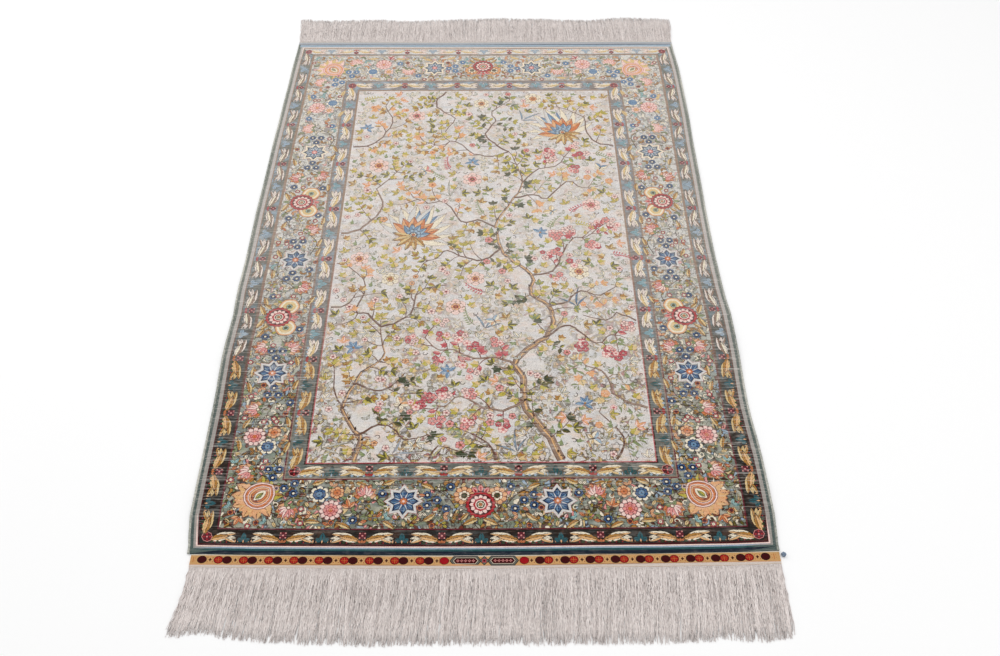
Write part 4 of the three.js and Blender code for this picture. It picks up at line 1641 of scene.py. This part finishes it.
def silk_pile(sizes):
    """Cut silk pile: charted dyes, broken by knots and weft streaks, with painted sheen: towards the back
    end the grounds pale and the dyes grow lighter, richer and washed with a pale tone.
    """
    finish = Finish("silk_pile")
    maths, mix = finish.math, finish.mix
    cells = finish.scaled(finish.place, 1 / sizes.knot)
    cells = finish.node("ShaderNodeVectorMath", ((0, cells),), operation="FLOOR").outputs[0]
    knots = finish.node("ShaderNodeTexWhiteNoise", ((0, cells),)).outputs["Value"]
    jitter = maths("SUBTRACT", knots, 0.5)
    across, up, _ = finish.parts(finish.attribute("place_in_shape", 1))
    form, bend, edge = finish.parts(finish.attribute("form", 1))
    along = finish.parts(finish.place)["Y"]
    # Painted sheen: this share grows from the front towards the back end, where it pales the grounds to
    # their second dye and the worked grounds to their plain dye.
    painted_sheen = finish.ramp(along, -0.62, 0.1, kind="SMOOTHSTEP")
    depth = finish.ramp(along, -0.75, 0.75)

    # Leaf: inked outside its profile and along its rib, lighter on its right side
    profile = maths("POWER", maths("MAXIMUM", maths("MINIMUM", up, 0.999), 0.001), 0.85)
    profile = maths("SINE", maths("MULTIPLY", profile, math.pi))
    straight = maths("SUBTRACT", across, maths("MULTIPLY", maths("MULTIPLY", up, up), bend))
    width = maths("MULTIPLY_ADD", jitter, 0.16, maths("ABSOLUTE", straight))
    leaf_ink = maths("GREATER_THAN", maths("ADD", width, edge), profile)
    leaf_ink = maths("MAXIMUM", leaf_ink, maths("LESS_THAN", width, maths("MULTIPLY", edge, 0.42)))
    leaf_light = maths("GREATER_THAN", straight, 0.0)

    # Flower: inked edge, notches, inner ring and heart; a blossom's inner ring is small
    is_blossom = maths("COMPARE", form, 4.0, 0.1)
    is_flower = maths("MAXIMUM", maths("COMPARE", form, 2.0, 0.1), is_blossom)
    inner = maths("MULTIPLY_ADD", is_blossom, -0.24, 0.52)
    reach = maths("SQRT", maths("MULTIPLY_ADD", across, across, maths("MULTIPLY", up, up)))
    petal = maths("MULTIPLY", maths("MULTIPLY", maths("ARCTAN2", across, up), bend), 0.5)
    petal = maths("ABSOLUTE", maths("COSINE", petal))
    reach = maths("DIVIDE", reach, maths("MULTIPLY_ADD", petal, 0.2, 0.8))
    reach = maths("MULTIPLY_ADD", jitter, 0.09, reach)
    flower_ink = maths("GREATER_THAN", maths("ADD", reach, edge), 1.0)
    notch = maths("MULTIPLY", maths("LESS_THAN", petal, 0.22), maths("GREATER_THAN", reach, inner))
    ring = maths("COMPARE", reach, inner, maths("MULTIPLY", edge, 0.42))
    heart = maths("LESS_THAN", reach, 0.13)
    flower_ink = maths("MAXIMUM", maths("MAXIMUM", flower_ink, notch), maths("MAXIMUM", ring, heart))

    ink = finish.mix_value(is_flower, leaf_ink, flower_ink)
    light = finish.mix_value(is_flower, leaf_light, maths("LESS_THAN", reach, inner))
    first, second = finish.attribute("dye"), finish.attribute("second_dye")
    colour = mix(ink, mix(light, second, finish.attribute("third_dye")), first)
    base = mix(painted_sheen, first, second)
    worked = mottled_ground(finish, cells, base, painted_sheen, edge)
    is_main = maths("GREATER_THAN", edge, 0.8)
    worked = mix(maths("MULTIPLY", maths("MULTIPLY", painted_sheen, is_main), 0.4), worked, base)
    worked = mix(maths("GREATER_THAN", edge, 0.1), base, worked)
    colour = mix(maths("COMPARE", form, 3.0, 0.1), colour, worked)
    # Painted sheen: the dyes are greyer and darker at the front and richer and lighter towards the back.
    inputs = (("Saturation", finish.ramp(depth, 0, 1, 0.94, 1.1)),
              ("Value", finish.ramp(depth, 0, 1, 0.97, 1.04)), ("Color", colour))
    colour = finish.node("ShaderNodeHueSaturation", inputs).outputs[0]

    streaks = finish.noise((75, 620, 1), 3, 0.6)
    long_streaks = finish.noise((9, 300, 1), 2, 0.6, (3, 5, 0))
    tone = maths("MULTIPLY_ADD", knots, 0.36, 0.44)
    tone = maths("MULTIPLY_ADD", streaks, 0.72, tone)
    tone = maths("MULTIPLY_ADD", finish.noise((1.3, 11, 1), 2), 0.1, tone)
    fleck = maths("MULTIPLY_ADD", finish.noise((60, 70, 1), 3, 0.6, (7, 1, 0)), 0.6, long_streaks)
    fleck = maths("MULTIPLY_ADD", streaks, 0.7, fleck)
    fleck = finish.ramp(fleck, 1.14, 1.56, 0.0, 0.6)
    fleck = maths("MULTIPLY", fleck, finish.ramp(along, -0.72, -0.58, 0.2, 1.0))
    fleck = maths("MULTIPLY", fleck, finish.ramp(along, -0.3, 0.1, 1.0, 0.6))
    flecked = mix(fleck, finish.scaled(colour, tone), shade(224, 218, 210))
    # Painted sheen: a pale wash over all dyes, growing towards the back end.
    sheen_veiled = mix(maths("MULTIPLY", painted_sheen, sizes.sheen_veil), flecked, shade(224, 218, 210))
    finish.set(base_color=sheen_veiled, roughness=0.75, specular_ior_level=0.12)
    finish.bump(maths("MULTIPLY_ADD", streaks, 0.6, knots), 0.35 * MM, 0.35)
    return finish.material


def woven_silk(name, pitch_x, pitch_y, sheen_veil):
    """Flat-woven silk: dyes broken by fine cross threads, under patches of a pale wash of painted sheen."""
    finish = Finish(name)
    maths = finish.math
    x, y, _ = finish.parts(finish.place)
    across = maths("SINE", maths("MULTIPLY", x, 2 * math.pi / pitch_x))
    along = maths("SINE", maths("MULTIPLY", y, 2 * math.pi / pitch_y))
    weave = maths("MULTIPLY", across, along)
    fuzz = finish.noise((900, 900, 300), 3)
    tone = maths("MULTIPLY_ADD", fuzz, 0.4, maths("MULTIPLY_ADD", weave, 0.1, 0.8))
    # Painted sheen: patches of a pale wash, as strong as asked for
    patchy_sheen = finish.ramp(finish.noise((60, 120, 1), 2), 0.35, 0.75, sheen_veil * 0.5, sheen_veil)
    sheen_veiled = finish.mix(patchy_sheen, finish.scaled(finish.attribute("dye"), tone), shade(216, 206, 196))
    finish.set(base_color=sheen_veiled, roughness=0.75, specular_ior_level=0.12)
    finish.bump(maths("MULTIPLY_ADD", fuzz, 0.5, weave), 0.25 * MM)
    return finish.material


def thread_silk(name, light, dark):
    """Loose or wrapped thread, its tone set for each strand by the mesh."""
    finish = Finish(name)
    maths = finish.math
    fuzz = finish.noise((900, 900, 900), 3)
    crimp = finish.noise((420, 240, 200), 2, 0.6, (9, 2, 5))
    share = maths("MULTIPLY_ADD", fuzz, 0.3, finish.attribute("tone", "Fac"))
    share = maths("MULTIPLY_ADD", finish.noise((25, 25, 8), 3), 0.3, share)
    share = maths("MULTIPLY_ADD", finish.ramp(crimp, 0.3, 0.7), 0.5, share)
    colour = finish.mix(finish.ramp(share, 0.45, 1.45), dark, light)
    finish.set(base_color=colour, roughness=0.65, specular_ior_level=0.3, sheen_weight=0.1)
    finish.bump(maths("MULTIPLY_ADD", crimp, 2.0, fuzz), 0.4 * MM, 0.6)
    return finish.material


def floor_finish():
    """Plain pale floor with the faintest unevenness."""
    finish = Finish("pale_floor")
    cloud = finish.noise((0.8, 0.8, 0.8), 1)
    finish.set(base_color=finish.mix(cloud, shade(253, 253, 253), shade(255, 255, 255)), roughness=0.9)
    return finish.material


# Pieces

PLAN = Plan()
SELVEDGE_SEED = 5


def tube_faces(ring_count, sides, shift=0):
    """Side faces and end caps of a tube whose points come ring by ring."""
    faces = []
    for ring in range(ring_count - 1):
        for side in range(sides):
            a = shift + ring * sides + side
            b = shift + ring * sides + (side + 1) % sides
            faces.append((a, b, b + sides, a + sides))
    last = shift + (ring_count - 1) * sides
    faces.append([shift + side for side in reversed(range(sides))])
    faces.append([last + side for side in range(sides)])
    return faces


def thread_mesh(name, points, faces, tones):
    """A smooth mesh of thread, with a tone between 0 and 1 at each point."""
    mesh = bpy.data.meshes.new(name)
    mesh.from_pydata(points, [], faces)
    layer = mesh.attributes.new("tone", "FLOAT", "POINT")
    layer.data.foreach_set("value", np.asarray(tones, np.float32))
    mesh.shade_smooth()
    return mesh


def ways_round(path, upright):
    """Two directions square to a path at each of its points."""
    tangent = np.gradient(path, axis=-2)
    tangent /= np.linalg.norm(tangent, axis=-1)[..., None]
    across = np.cross(tangent, upright)
    across /= np.linalg.norm(across, axis=-1)[..., None]
    return across, np.cross(across, tangent)


def make_pile(scene):
    """The knotted pile sheet with its pattern."""
    def place(points):
        """Places, floor heights and thickness of the pile."""
        x, y = PLAN.from_chart(points)
        return x, y, PLAN.lift(x, y), PLAN.pile_height(x, y)

    def under_tone(point):
        """The back of the rug shows its borders as plain grounds."""
        tone = "spruce"
        for box, name in ((RIM_LINE, "cream"), (OUTER_GUARD, "peat"), (MAIN, "sage"),
                          (INNER_GUARD, "stone"), (FIELD, "ivory")):
            if box.left < point[0] < box.right and box.front < point[1] < box.back:
                tone = name
        return tone

    mesh = charted_sheet("silk_pile", pile_chart(), place, under_tone)
    finish_piece("silk_pile", mesh, silk_pile(scene.rug_sizes), "pile")


def make_selvedges(scene):
    """Both overcast side cords, as wraps of yarn round a core."""
    sides, swell, slant = 8, 0.16, 0.5
    material = thread_silk("selvedge_silk", shade(212, 209, 198), shade(98, 108, 100))
    rng = np.random.default_rng(SELVEDGE_SEED)
    turn = (np.arange(sides) + 0.5) / sides * 2 * math.pi
    for node, outward in (("selvedge_left", -1), ("selvedge_right", 1)):
        groups = stations(node, 1)
        along = np.array([group[:, 1].mean() for group in groups])
        low = np.array([group.min(axis=0) for group in groups])
        high = np.array([group.max(axis=0) for group in groups])
        count = 2 * round((along[-1] - along[0]) / scene.rug_sizes.wrap)
        y = np.linspace(along[0], along[-1], count)[:, None]
        centre = np.interp(y, along, (low[:, 0] + high[:, 0]) / 2)
        width = np.interp(y, along, high[:, 0] - low[:, 0])
        height = np.interp(y, along, high[:, 2] - low[:, 2])
        step = np.arange(count)[:, None]
        full = np.where(step % 2, 1.0, 1 - swell) * (1 + rng.normal(0, 0.02, (count, 1)))
        x = centre + width / 2 * full * np.sin(turn)
        z = PLAN.lift(centre, y) + height / 2 * (1 + full * np.cos(turn) * 1.04)
        lean = slant * scene.rug_sizes.wrap * np.sin(turn) * outward
        ease = np.minimum(step, step[::-1]) > 1
        points = np.stack((x, y + lean * ease, np.maximum(z, 0.2 * MM)), axis=-1).reshape(-1, 3)
        wave = 0.5 + 0.3 * np.sin(y * 19) * np.sin(y * 7.3 + outward) + rng.normal(0, 0.1, (count, 1))
        # Painted shade: the grooves between the wraps are darker than their crests.
        tones = np.repeat(np.where(step % 2, 0.15, -0.25) + wave, sides)
        mesh = thread_mesh(node, points.tolist(), tube_faces(count, sides), tones)
        finish_piece(node + "_yarn", mesh, material, node)


BAND_GROUND = Box(-6, 998, -24, 0)
BAND_INSET = (8 * MM, 1.5 * MM)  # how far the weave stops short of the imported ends, left and right
BEAD_PITCH = 42.8
FIRST_BEAD = 42.0
BEAD_ROW = -10.4
CARTOUCHE_LEFT = 434.0


def bead(edge_dye, fill_dye):
    """An oval bead."""
    return [(edge_dye, disc(1, 14) * (8.4, 7.2)), (fill_dye, disc(1, 14) * (7.4, 6.2))]


def cross(arm_dye, level, upright, dot_dye, dot_size, away):
    """A cross between four dots; each arm is given by half its sides."""
    motif = [(arm_dye, rectangle(Box(-x, x, -y, y))) for x, y in (level, upright)]
    for x, y in ((-1, 1), (1, 1), (-1, -1), (1, -1)):
        motif += put([(dot_dye, disc(dot_size, 5))], x * away[0], y * away[1])
    return motif


def bead_motifs():
    """A red bead with a cross, a dark bead and a small cross, in one repeat."""
    lattice = cross("orange", (5.6, 0.5), (0.6, 5), "orange", 0.8, (3.2, 2.8))
    small = cross("maroon", (2.6, 1), (1, 3), "red", 0.9, (4.4, 3.8))
    return bead("maroon", "red") + lattice + put(bead("peat", "maroon"), 14.6, 0) + put(small, 28.6, 0)


def cartouche():
    """A long panel with a plain chain of lozenges."""
    motif = []
    for tone, length, height in (("brown", 27.5, 9.2), ("stone", 26, 8.2), ("brown", 22.6, 6.6),
                                 ("cream", 21.6, 6.0), ("maroon", 20.4, 5.2)):
        cut = length - height * 0.8
        motif.append((tone, np.array(((-length, 0), (-cut, -height), (cut, -height), (length, 0),
                                      (cut, height), (-cut, height)), float)))
    for step in range(-2, 3):
        motif += put([("pink", pointed_star(3.2, 4, 0.5)), ("maroon", disc(1.0, 5))], step * 6.6, 0)
    return motif


def front_band_chart():
    """The flat-woven front end: a row of beads with two small panels in its middle."""
    chart = Chart(BAND_GROUND, "linen")
    for tone, low, high in (("apricot", -20.2, -17.6), ("sand", -18.6, -1.6), ("cream", -2.6, -1.2)):
        chart.fill(tone, rectangle(Box(-6, 998, low, high)))
    beads = bead_motifs()
    x = FIRST_BEAD - BEAD_PITCH
    while x < CARTOUCHE_LEFT - 30:
        draw_both(chart, [shape for shape in put(beads, x, BEAD_ROW) if shape[1][:, 0].min() > -6])
        x += BEAD_PITCH
    draw_both(chart, put(bead("maroon", "red"), CARTOUCHE_LEFT - 8.5, BEAD_ROW))
    draw_both(chart, put(cartouche(), (CARTOUCHE_LEFT + MIRROR_LINE) / 2 - 2, BEAD_ROW))
    knot = [("brown", pointed_star(9, 4, 0.3)), ("stone", pointed_star(7.4, 4, 0.3)),
            ("rose", pointed_star(5.4, 4, 0.45, 45)), ("maroon", disc(2.0, 6))]
    chart.draw(put(knot, MIRROR_LINE, BEAD_ROW))
    return chart


def make_front_band():
    """The flat-woven end with its row of beads."""
    across, inner = edge_of("end_band_front", 0, "max")
    depth = inner[0] - edge_of("end_band_front", 0, "min")[1][0]
    low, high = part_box("end_band_front")
    left, right = low.x + BAND_INSET[0], high.x - BAND_INSET[1]
    thickness = 1.8 * MM

    def place(points):
        """Places, floor heights and thickness of the band."""
        share = (points[:, 0] - BAND_GROUND.left) / (BAND_GROUND.right - BAND_GROUND.left)
        x = left + share * (right - left)
        y = np.interp(x, across, inner) + points[:, 1] / -BAND_GROUND.front * depth
        edge = np.minimum(-points[:, 1], points[:, 1] - BAND_GROUND.front)
        return x, y, PLAN.lift(x, y), thickness * (0.7 + 0.3 * np.clip(edge / 3, 0, 1))

    mesh = charted_sheet("beaded_end", front_band_chart(), place, lambda point: "sand")
    finish = woven_silk("front_band_weave", 1.6 * MM, 1.3 * MM, 0.0)
    finish_piece("beaded_end", mesh, finish, "end_band_front")


def make_back_band():
    """The ribbed flat-woven end, with a dark twined line along the pile."""
    across, inner = edge_of("end_band_back", 0, "min")
    depth = edge_of("end_band_back", 0, "max")[1][0] - inner[0]
    low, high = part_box("end_band_back")
    columns, ribs, steps = 420, 6, 4
    rows = ribs * steps + 1
    x, share = np.meshgrid(np.linspace(low.x, high.x, columns), np.linspace(0, 1, rows))
    y = np.interp(x, across, inner) + share * depth
    floor = PLAN.lift(x, y)
    rib = abs(np.sin(math.pi * share * ribs))
    twist = 0.5 + 0.5 * np.sin(x / (4.2 * MM) * math.pi + np.round(share * ribs) * 1.7)
    top = floor + (1.1 + 0.62 * rib + 0.12 * twist * rib) * MM
    tops, unders = (np.stack((x, y, z), axis=-1).reshape(-1, 3) for z in (top, floor))
    starts = [row * columns + column for row in range(rows - 1) for column in range(columns - 1)]
    faces = [(a, a + 1, a + columns + 1, a + columns) for a in starts]
    loop = list(range(columns - 1)) + [row * columns + columns - 1 for row in range(rows - 1)]
    loop += [rows * columns - 1 - column for column in range(columns - 1)]
    loop += [row * columns for row in range(rows - 1, 0, -1)]
    shapes = []
    for first in starts + [face[-1] for face in faces] + loop:
        row, column = divmod(first, columns)
        tone = "pearl" if share[row, 0] < 0.86 else "cream"
        if share[row, 0] < 0.13:
            tone = "navy" if column // 3 % 2 else "blue"
        shapes.append((tone, None, ()))
    sheet = Sheet(tops, unders, faces, faces, loop, loop)
    mesh = closed_sheet("ribbed_end", sheet, shapes, np.zeros((2 * len(tops), 2)), 60)
    # Painted sheen: the back end takes a patchy pale wash; the front end none.
    finish = woven_silk("back_band_weave", 2.1 * MM, 1.1 * MM, 0.2)
    finish_piece("ribbed_end", mesh, finish, "end_band_back")


FRINGE_ENDS = (
    # End, way along Y, seed, how far its tips lean and how much that swings
    ("front", -1, 11, 8 * MM, 3 * MM),
    ("back", 1, 23, 1 * MM, 4 * MM),
)


def fringe_reach(node, outward, across):
    """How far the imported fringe's tips reach at places across the rug."""
    points = node_points(node)
    bins = np.linspace(points[:, 0].min(), points[:, 0].max(), 34)
    reach = []
    for low, high in zip(bins, bins[1:]):
        inside = points[(points[:, 0] >= low - 6 * MM) & (points[:, 0] <= high + 6 * MM)]
        reach.append((inside[:, 1] * outward).max())
    return np.interp(across, (bins[1:] + bins[:-1]) / 2, reach) * outward


def make_fringe(scene, end, outward, seed, tip_lean, swing):
    """The loose warp threads of one end, in soft clumps, over a narrow woven root strip."""
    node, band = f"fringe_{end}", f"end_band_{end}"
    rng = np.random.default_rng(seed)
    strands, sides = scene.rug_sizes.strands, 3
    share = np.array((0, 0.05, 0.13, 0.23, 0.33, 0.43, 0.53, 0.63, 0.73, 0.84, 1.0))[None, :]
    stops = share.shape[1]
    one_each, all_stops = (strands, 1), (strands, stops)
    low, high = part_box(node)
    band_low, band_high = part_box(band)
    left, right = band_low.x + 1 * MM, band_high.x - 1 * MM
    if end == "front":
        left, right = left + BAND_INSET[0], right - BAND_INSET[1]
    outer = edge_of(band, 0, "min" if outward < 0 else "max")
    root_x = np.linspace(left, right, strands)[:, None] + rng.normal(0, 0.5 * MM, one_each)
    root_x = np.clip(root_x, left, right)
    root_y = np.interp(root_x, *outer) + outward * 1.2 * MM
    tip_y = fringe_reach(node, outward, root_x)
    length = abs(tip_y - root_y) * rng.uniform(0.86, 1.0, one_each) ** 0.9
    stray = rng.random(one_each) < 0.08
    length = np.where(stray, length * rng.uniform(0.6, 0.95, one_each), length)
    clump = 7.0 * MM
    phase = root_x / clump + 0.6 * np.sin(root_x * 61) + 0.4 * np.sin(root_x * 23 + seed)
    pull = (np.round(phase) - phase) * clump
    wander = rng.normal(0, 3.8 * MM, one_each)
    kink = rng.normal(0, 1.15 * MM, all_stops) * np.clip(share / 0.12, 0, 1)
    kink = kink * np.where(np.arange(stops) % 2, 1, -1) * np.sign(kink)
    kink = np.where(rng.random(one_each) < 0.5, kink, -kink)
    clump_way = rng.normal(0, 1.8 * MM, 4000)[np.round(phase).astype(int) % 4000]
    x = (root_x + pull * (0.16 * np.sin(math.pi * np.clip(share * 0.9, 0, 1)))
         + wander * share ** 1.2 + kink + (-tip_lean + swing * np.sin(root_x * 17)) * share ** 1.5
         + 2.0 * MM * np.sin(root_x * 37 + share * 3.2) * share + clump_way * share ** 1.3)
    bow = rng.normal(0, 0.8 * MM, one_each) * np.sin(share * 5)
    y = root_y + outward * length * share + bow * share
    radius = scene.rug_sizes.strand / 2
    layer = rng.uniform(0, 1, one_each) ** 1.4 * 2.8 * MM
    root_z = PLAN.lift(root_x, root_y) + 0.9 * MM
    fall = np.clip(share / 0.16, 0, 1)
    fall = fall * fall * (3 - 2 * fall)
    arch = np.sin(math.pi * share ** 0.6) * layer
    arch = np.maximum(arch + rng.normal(0, 0.45 * MM, all_stops) * np.sin(math.pi * share), 0)
    z = root_z * (1 - fall) + (radius * 1.05 + arch) * fall
    path = np.stack((np.clip(x, low.x - 5 * MM, high.x + 5 * MM), y, z), axis=-1)
    across, upward = ways_round(path, (0, 0, 1.0))
    spin = rng.uniform(0, 2 * math.pi, one_each) + share * rng.uniform(-9, 9, one_each)
    thick = radius * (1 - 0.4 * share ** 3) * rng.uniform(0.85, 1.25, one_each)
    corners = []
    for side in range(sides):
        angle = (spin + side * 2 * math.pi / sides)[..., None]
        corners.append(path + (across * np.cos(angle) + upward * np.sin(angle)) * thick[..., None])
    points = np.stack(corners, axis=2).reshape(-1, 3)
    points[:, 2] = np.maximum(points[:, 2], 0.0)
    faces = []
    for strand in range(strands):
        faces += tube_faces(stops, sides, strand * stops * sides)
    # Painted shade: a strand is darker near its root, and the lower it lies in the heap the darker it is.
    tones = rng.normal(0.55, 0.16, one_each) + 0.1 * share - 0.25 * (1 - fall)
    tones = tones + rng.normal(0, 0.14, all_stops) + layer / MM * 0.05
    points, tones = points.tolist(), np.repeat(tones, sides).tolist()
    add_root_strip(points, faces, tones, np.linspace(left, right, 500), outer, outward)
    name = f"{end}_warp_fringe"
    material = thread_silk(name, shade(246, 237, 233), shade(192, 180, 175))
    finish_piece(name, thread_mesh(node, points, faces, tones), material, node)


def add_root_strip(points, faces, tones, x, outer, outward):
    """Adds the woven strip that the threads leave, as two rows of twined yarn."""
    for row in range(2):
        centre = np.interp(x, *outer) + outward * (0.9 + 1.3 * row) * MM
        floor = PLAN.lift(x, centre)
        reach = (0.62 + 0.16 * np.sin(x / (2.4 * MM) * math.pi + row * 2)) * MM
        faces += tube_faces(len(x), 6, len(points))
        for column in range(len(x)):
            for side in range(6):
                turn = (side + 0.5) / 6 * 2 * math.pi
                points.append((x[column], centre[column] + reach[column] * math.sin(turn),
                               max(0, floor[column] + 0.8 * MM + reach[column] * math.cos(turn))))
            tones += [0.6 + 0.2 * math.sin(column * 0.9)] * 6


def make_yarn_end():
    """The knotted end of the blue selvedge yarn, wound over itself."""
    low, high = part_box("yarn_end")
    middle = (low + high) / 2
    yarn, sides, count = 1.15 * MM, 8, 150
    t = np.linspace(0, 2 * math.pi, count)
    reach = ((high.x - low.x) / 2 - yarn) * (0.55 + 0.45 * np.cos(5 * t))
    path = np.column_stack((middle.x + reach * np.cos(3 * t), middle.y + reach * np.sin(3 * t),
                            middle.z + ((high.z - low.z) / 2 - yarn) * np.sin(5 * t)))
    across, upward = (way[:, None] for way in ways_round(path, (0.13, 0.2, 1.0)))
    turn = np.arange(sides) / sides * 2 * math.pi
    wind = np.arange(count)[:, None] * 1.1 + 2 * turn
    ply = 1 + 0.12 * np.sin(wind)
    points = path[:, None] + yarn * ply[..., None] * (
        across * np.cos(turn)[None, :, None] + upward * np.sin(turn)[None, :, None])
    points[..., 2] = np.maximum(points[..., 2], 0.0)
    # Painted shade: the grooves of the yarn's twist are darker than its bulges.
    mesh = thread_mesh("yarn_knot", points.reshape(-1, 3).tolist(), tube_faces(count, sides),
                       (0.4 + 0.3 * np.sin(wind)).ravel())
    material = thread_silk("blue_yarn", shade(150, 168, 186), shade(44, 62, 92))
    finish_piece("yarn_knot", mesh, material, "yarn_end")


# Stage

CAMERA_LENS = 35.82  # on a 36 mm wide sensor
CAMERA_OFFSET = (0.0211, -1.5747, 1.5201)  # from the middle of the pile
CAMERA_DOWN = 48.94  # degrees below level
CAMERA_YAW = -0.652
CAMERA_ROLL = 0.267

LAMPS = (
    # Name, place, size, power
    ("window", (-2.6, 1.8, 2.6), 2.2, 30),
    ("ceiling", (0.6, 0.2, 3.4), 3.0, 26),
    ("fill", (2.4, -2.4, 2.2), 2.2, 8),
)


def make_stage(scene):
    """Floor, camera and soft lights."""
    half, bend_start, bend_radius = 14.0, 7.0, 3.0
    profile = [(-half, 0.0), (bend_start, 0.0)]
    for step in range(1, 13):
        angle = math.radians(step * 7.5)
        profile.append((bend_start + bend_radius * math.sin(angle),
                        bend_radius * (1 - math.cos(angle))))
    profile.append((bend_start + bend_radius, 8.0))
    points = [(x, y, z - 0.4 * MM) for x in (-half, half) for y, z in profile]
    count = len(profile)
    mesh = bpy.data.meshes.new("floor")
    mesh.from_pydata(points, [], [(i, i + count, i + count + 1, i + 1) for i in range(count - 1)])
    mesh.materials.append(floor_finish())
    mesh.shade_smooth()
    in_scene("floor", mesh)

    scene.world = bpy.data.worlds.new("soft_room")
    scene.world.use_nodes = True
    background = scene.world.node_tree.nodes["Background"].inputs
    background["Color"].default_value = (1, 1, 1, 1)
    background["Strength"].default_value = 0.72
    for name, place, size, power in LAMPS:
        lamp = bpy.data.lights.new(name, "AREA")
        lamp.shape = "DISK"
        lamp.size = size
        lamp.energy = power
        light = in_scene(name, lamp)
        light.location = place
        light.rotation_euler = (-light.location).to_track_quat("-Z", "Y").to_euler()

    camera = in_scene("camera", bpy.data.cameras.new("camera"))
    camera.data.lens = CAMERA_LENS
    camera.data.sensor_width = 36
    x, y, height = CAMERA_OFFSET
    camera.location = (PLAN.middle[0] + x, PLAN.middle[1] + y, height)
    aim = Euler((math.radians(90 - CAMERA_DOWN), 0, math.radians(CAMERA_YAW))).to_matrix()
    roll = Euler((0, 0, math.radians(CAMERA_ROLL))).to_matrix()
    camera.rotation_euler = (aim @ roll).to_euler()
    scene.camera = camera
    scene.view_settings.view_transform = "Standard"


# Operators, one for each piece or group of like pieces

class RUG_OT_stage(Operator):
    """Make the floor, the camera and the soft lights"""
    bl_idname = "rug.stage"
    bl_label = "Stage"

    def execute(self, context):
        make_stage(context.scene)
        return {"FINISHED"}


class RUG_OT_pile(Operator):
    """Make the knotted pile with its charted pattern"""
    bl_idname = "rug.pile"
    bl_label = "Silk Pile"

    def execute(self, context):
        make_pile(context.scene)
        return {"FINISHED"}


class RUG_OT_selvedges(Operator):
    """Make the overcast cords down both long sides"""
    bl_idname = "rug.selvedges"
    bl_label = "Selvedges"

    def execute(self, context):
        make_selvedges(context.scene)
        return {"FINISHED"}


class RUG_OT_woven_ends(Operator):
    """Make the beaded front end and the ribbed back end"""
    bl_idname = "rug.woven_ends"
    bl_label = "Woven Ends"

    def execute(self, context):
        make_front_band()
        make_back_band()
        return {"FINISHED"}


class RUG_OT_fringes(Operator):
    """Make the loose warp threads of both ends"""
    bl_idname = "rug.fringes"
    bl_label = "Warp Fringes"

    def execute(self, context):
        for end in FRINGE_ENDS:
            make_fringe(context.scene, *end)
        return {"FINISHED"}


class RUG_OT_yarn_end(Operator):
    """Make the knotted end of the selvedge yarn"""
    bl_idname = "rug.yarn_end"
    bl_label = "Yarn End"

    def execute(self, context):
        make_yarn_end()
        return {"FINISHED"}


class RUG_OT_declare(Operator):
    """Does nothing; no cloth sizes are stated"""
    bl_idname = "rug.declare"
    bl_label = "Cloth Sizes"

    def execute(self, context):
        return {"FINISHED"}


OPERATORS = (
    RUG_OT_stage,
    RUG_OT_pile,
    RUG_OT_selvedges,
    RUG_OT_woven_ends,
    RUG_OT_fringes,
    RUG_OT_yarn_end,
    RUG_OT_declare,
)


class RUG_PT_panel(Panel):
    """The rug's pieces, sizes and dyes"""
    bl_label = "Silk Pile Rug"
    bl_idname = "RUG_PT_panel"
    bl_space_type = "VIEW_3D"
    bl_region_type = "UI"
    bl_category = "Rug"

    def draw(self, context):
        layout = self.layout
        for operator in OPERATORS:
            layout.operator(operator.bl_idname)
        for group in (context.scene.rug_sizes, context.scene.rug_dyes):
            box = layout.box()
            for name in group.__annotations__:
                box.prop(group, name)


CLASSES = (RugDyes, RugSizes, *OPERATORS, RUG_PT_panel)


def register():
    """Registers the classes and their settings on the scene."""
    for cls in CLASSES:
        bpy.utils.register_class(cls)
    bpy.types.Scene.rug_dyes = PointerProperty(type=RugDyes)
    bpy.types.Scene.rug_sizes = PointerProperty(type=RugSizes)


def unregister():
    """Takes the settings and classes away again."""
    del bpy.types.Scene.rug_sizes
    del bpy.types.Scene.rug_dyes
    for cls in reversed(CLASSES):
        bpy.utils.unregister_class(cls)


def main():
    """Makes every piece in order."""
    register()
    bpy.ops.rug.stage()
    bpy.ops.rug.pile()
    bpy.ops.rug.selvedges()
    bpy.ops.rug.woven_ends()
    bpy.ops.rug.fringes()
    bpy.ops.rug.yarn_end()
    bpy.ops.rug.declare()


if __name__ == "__main__":
    main()
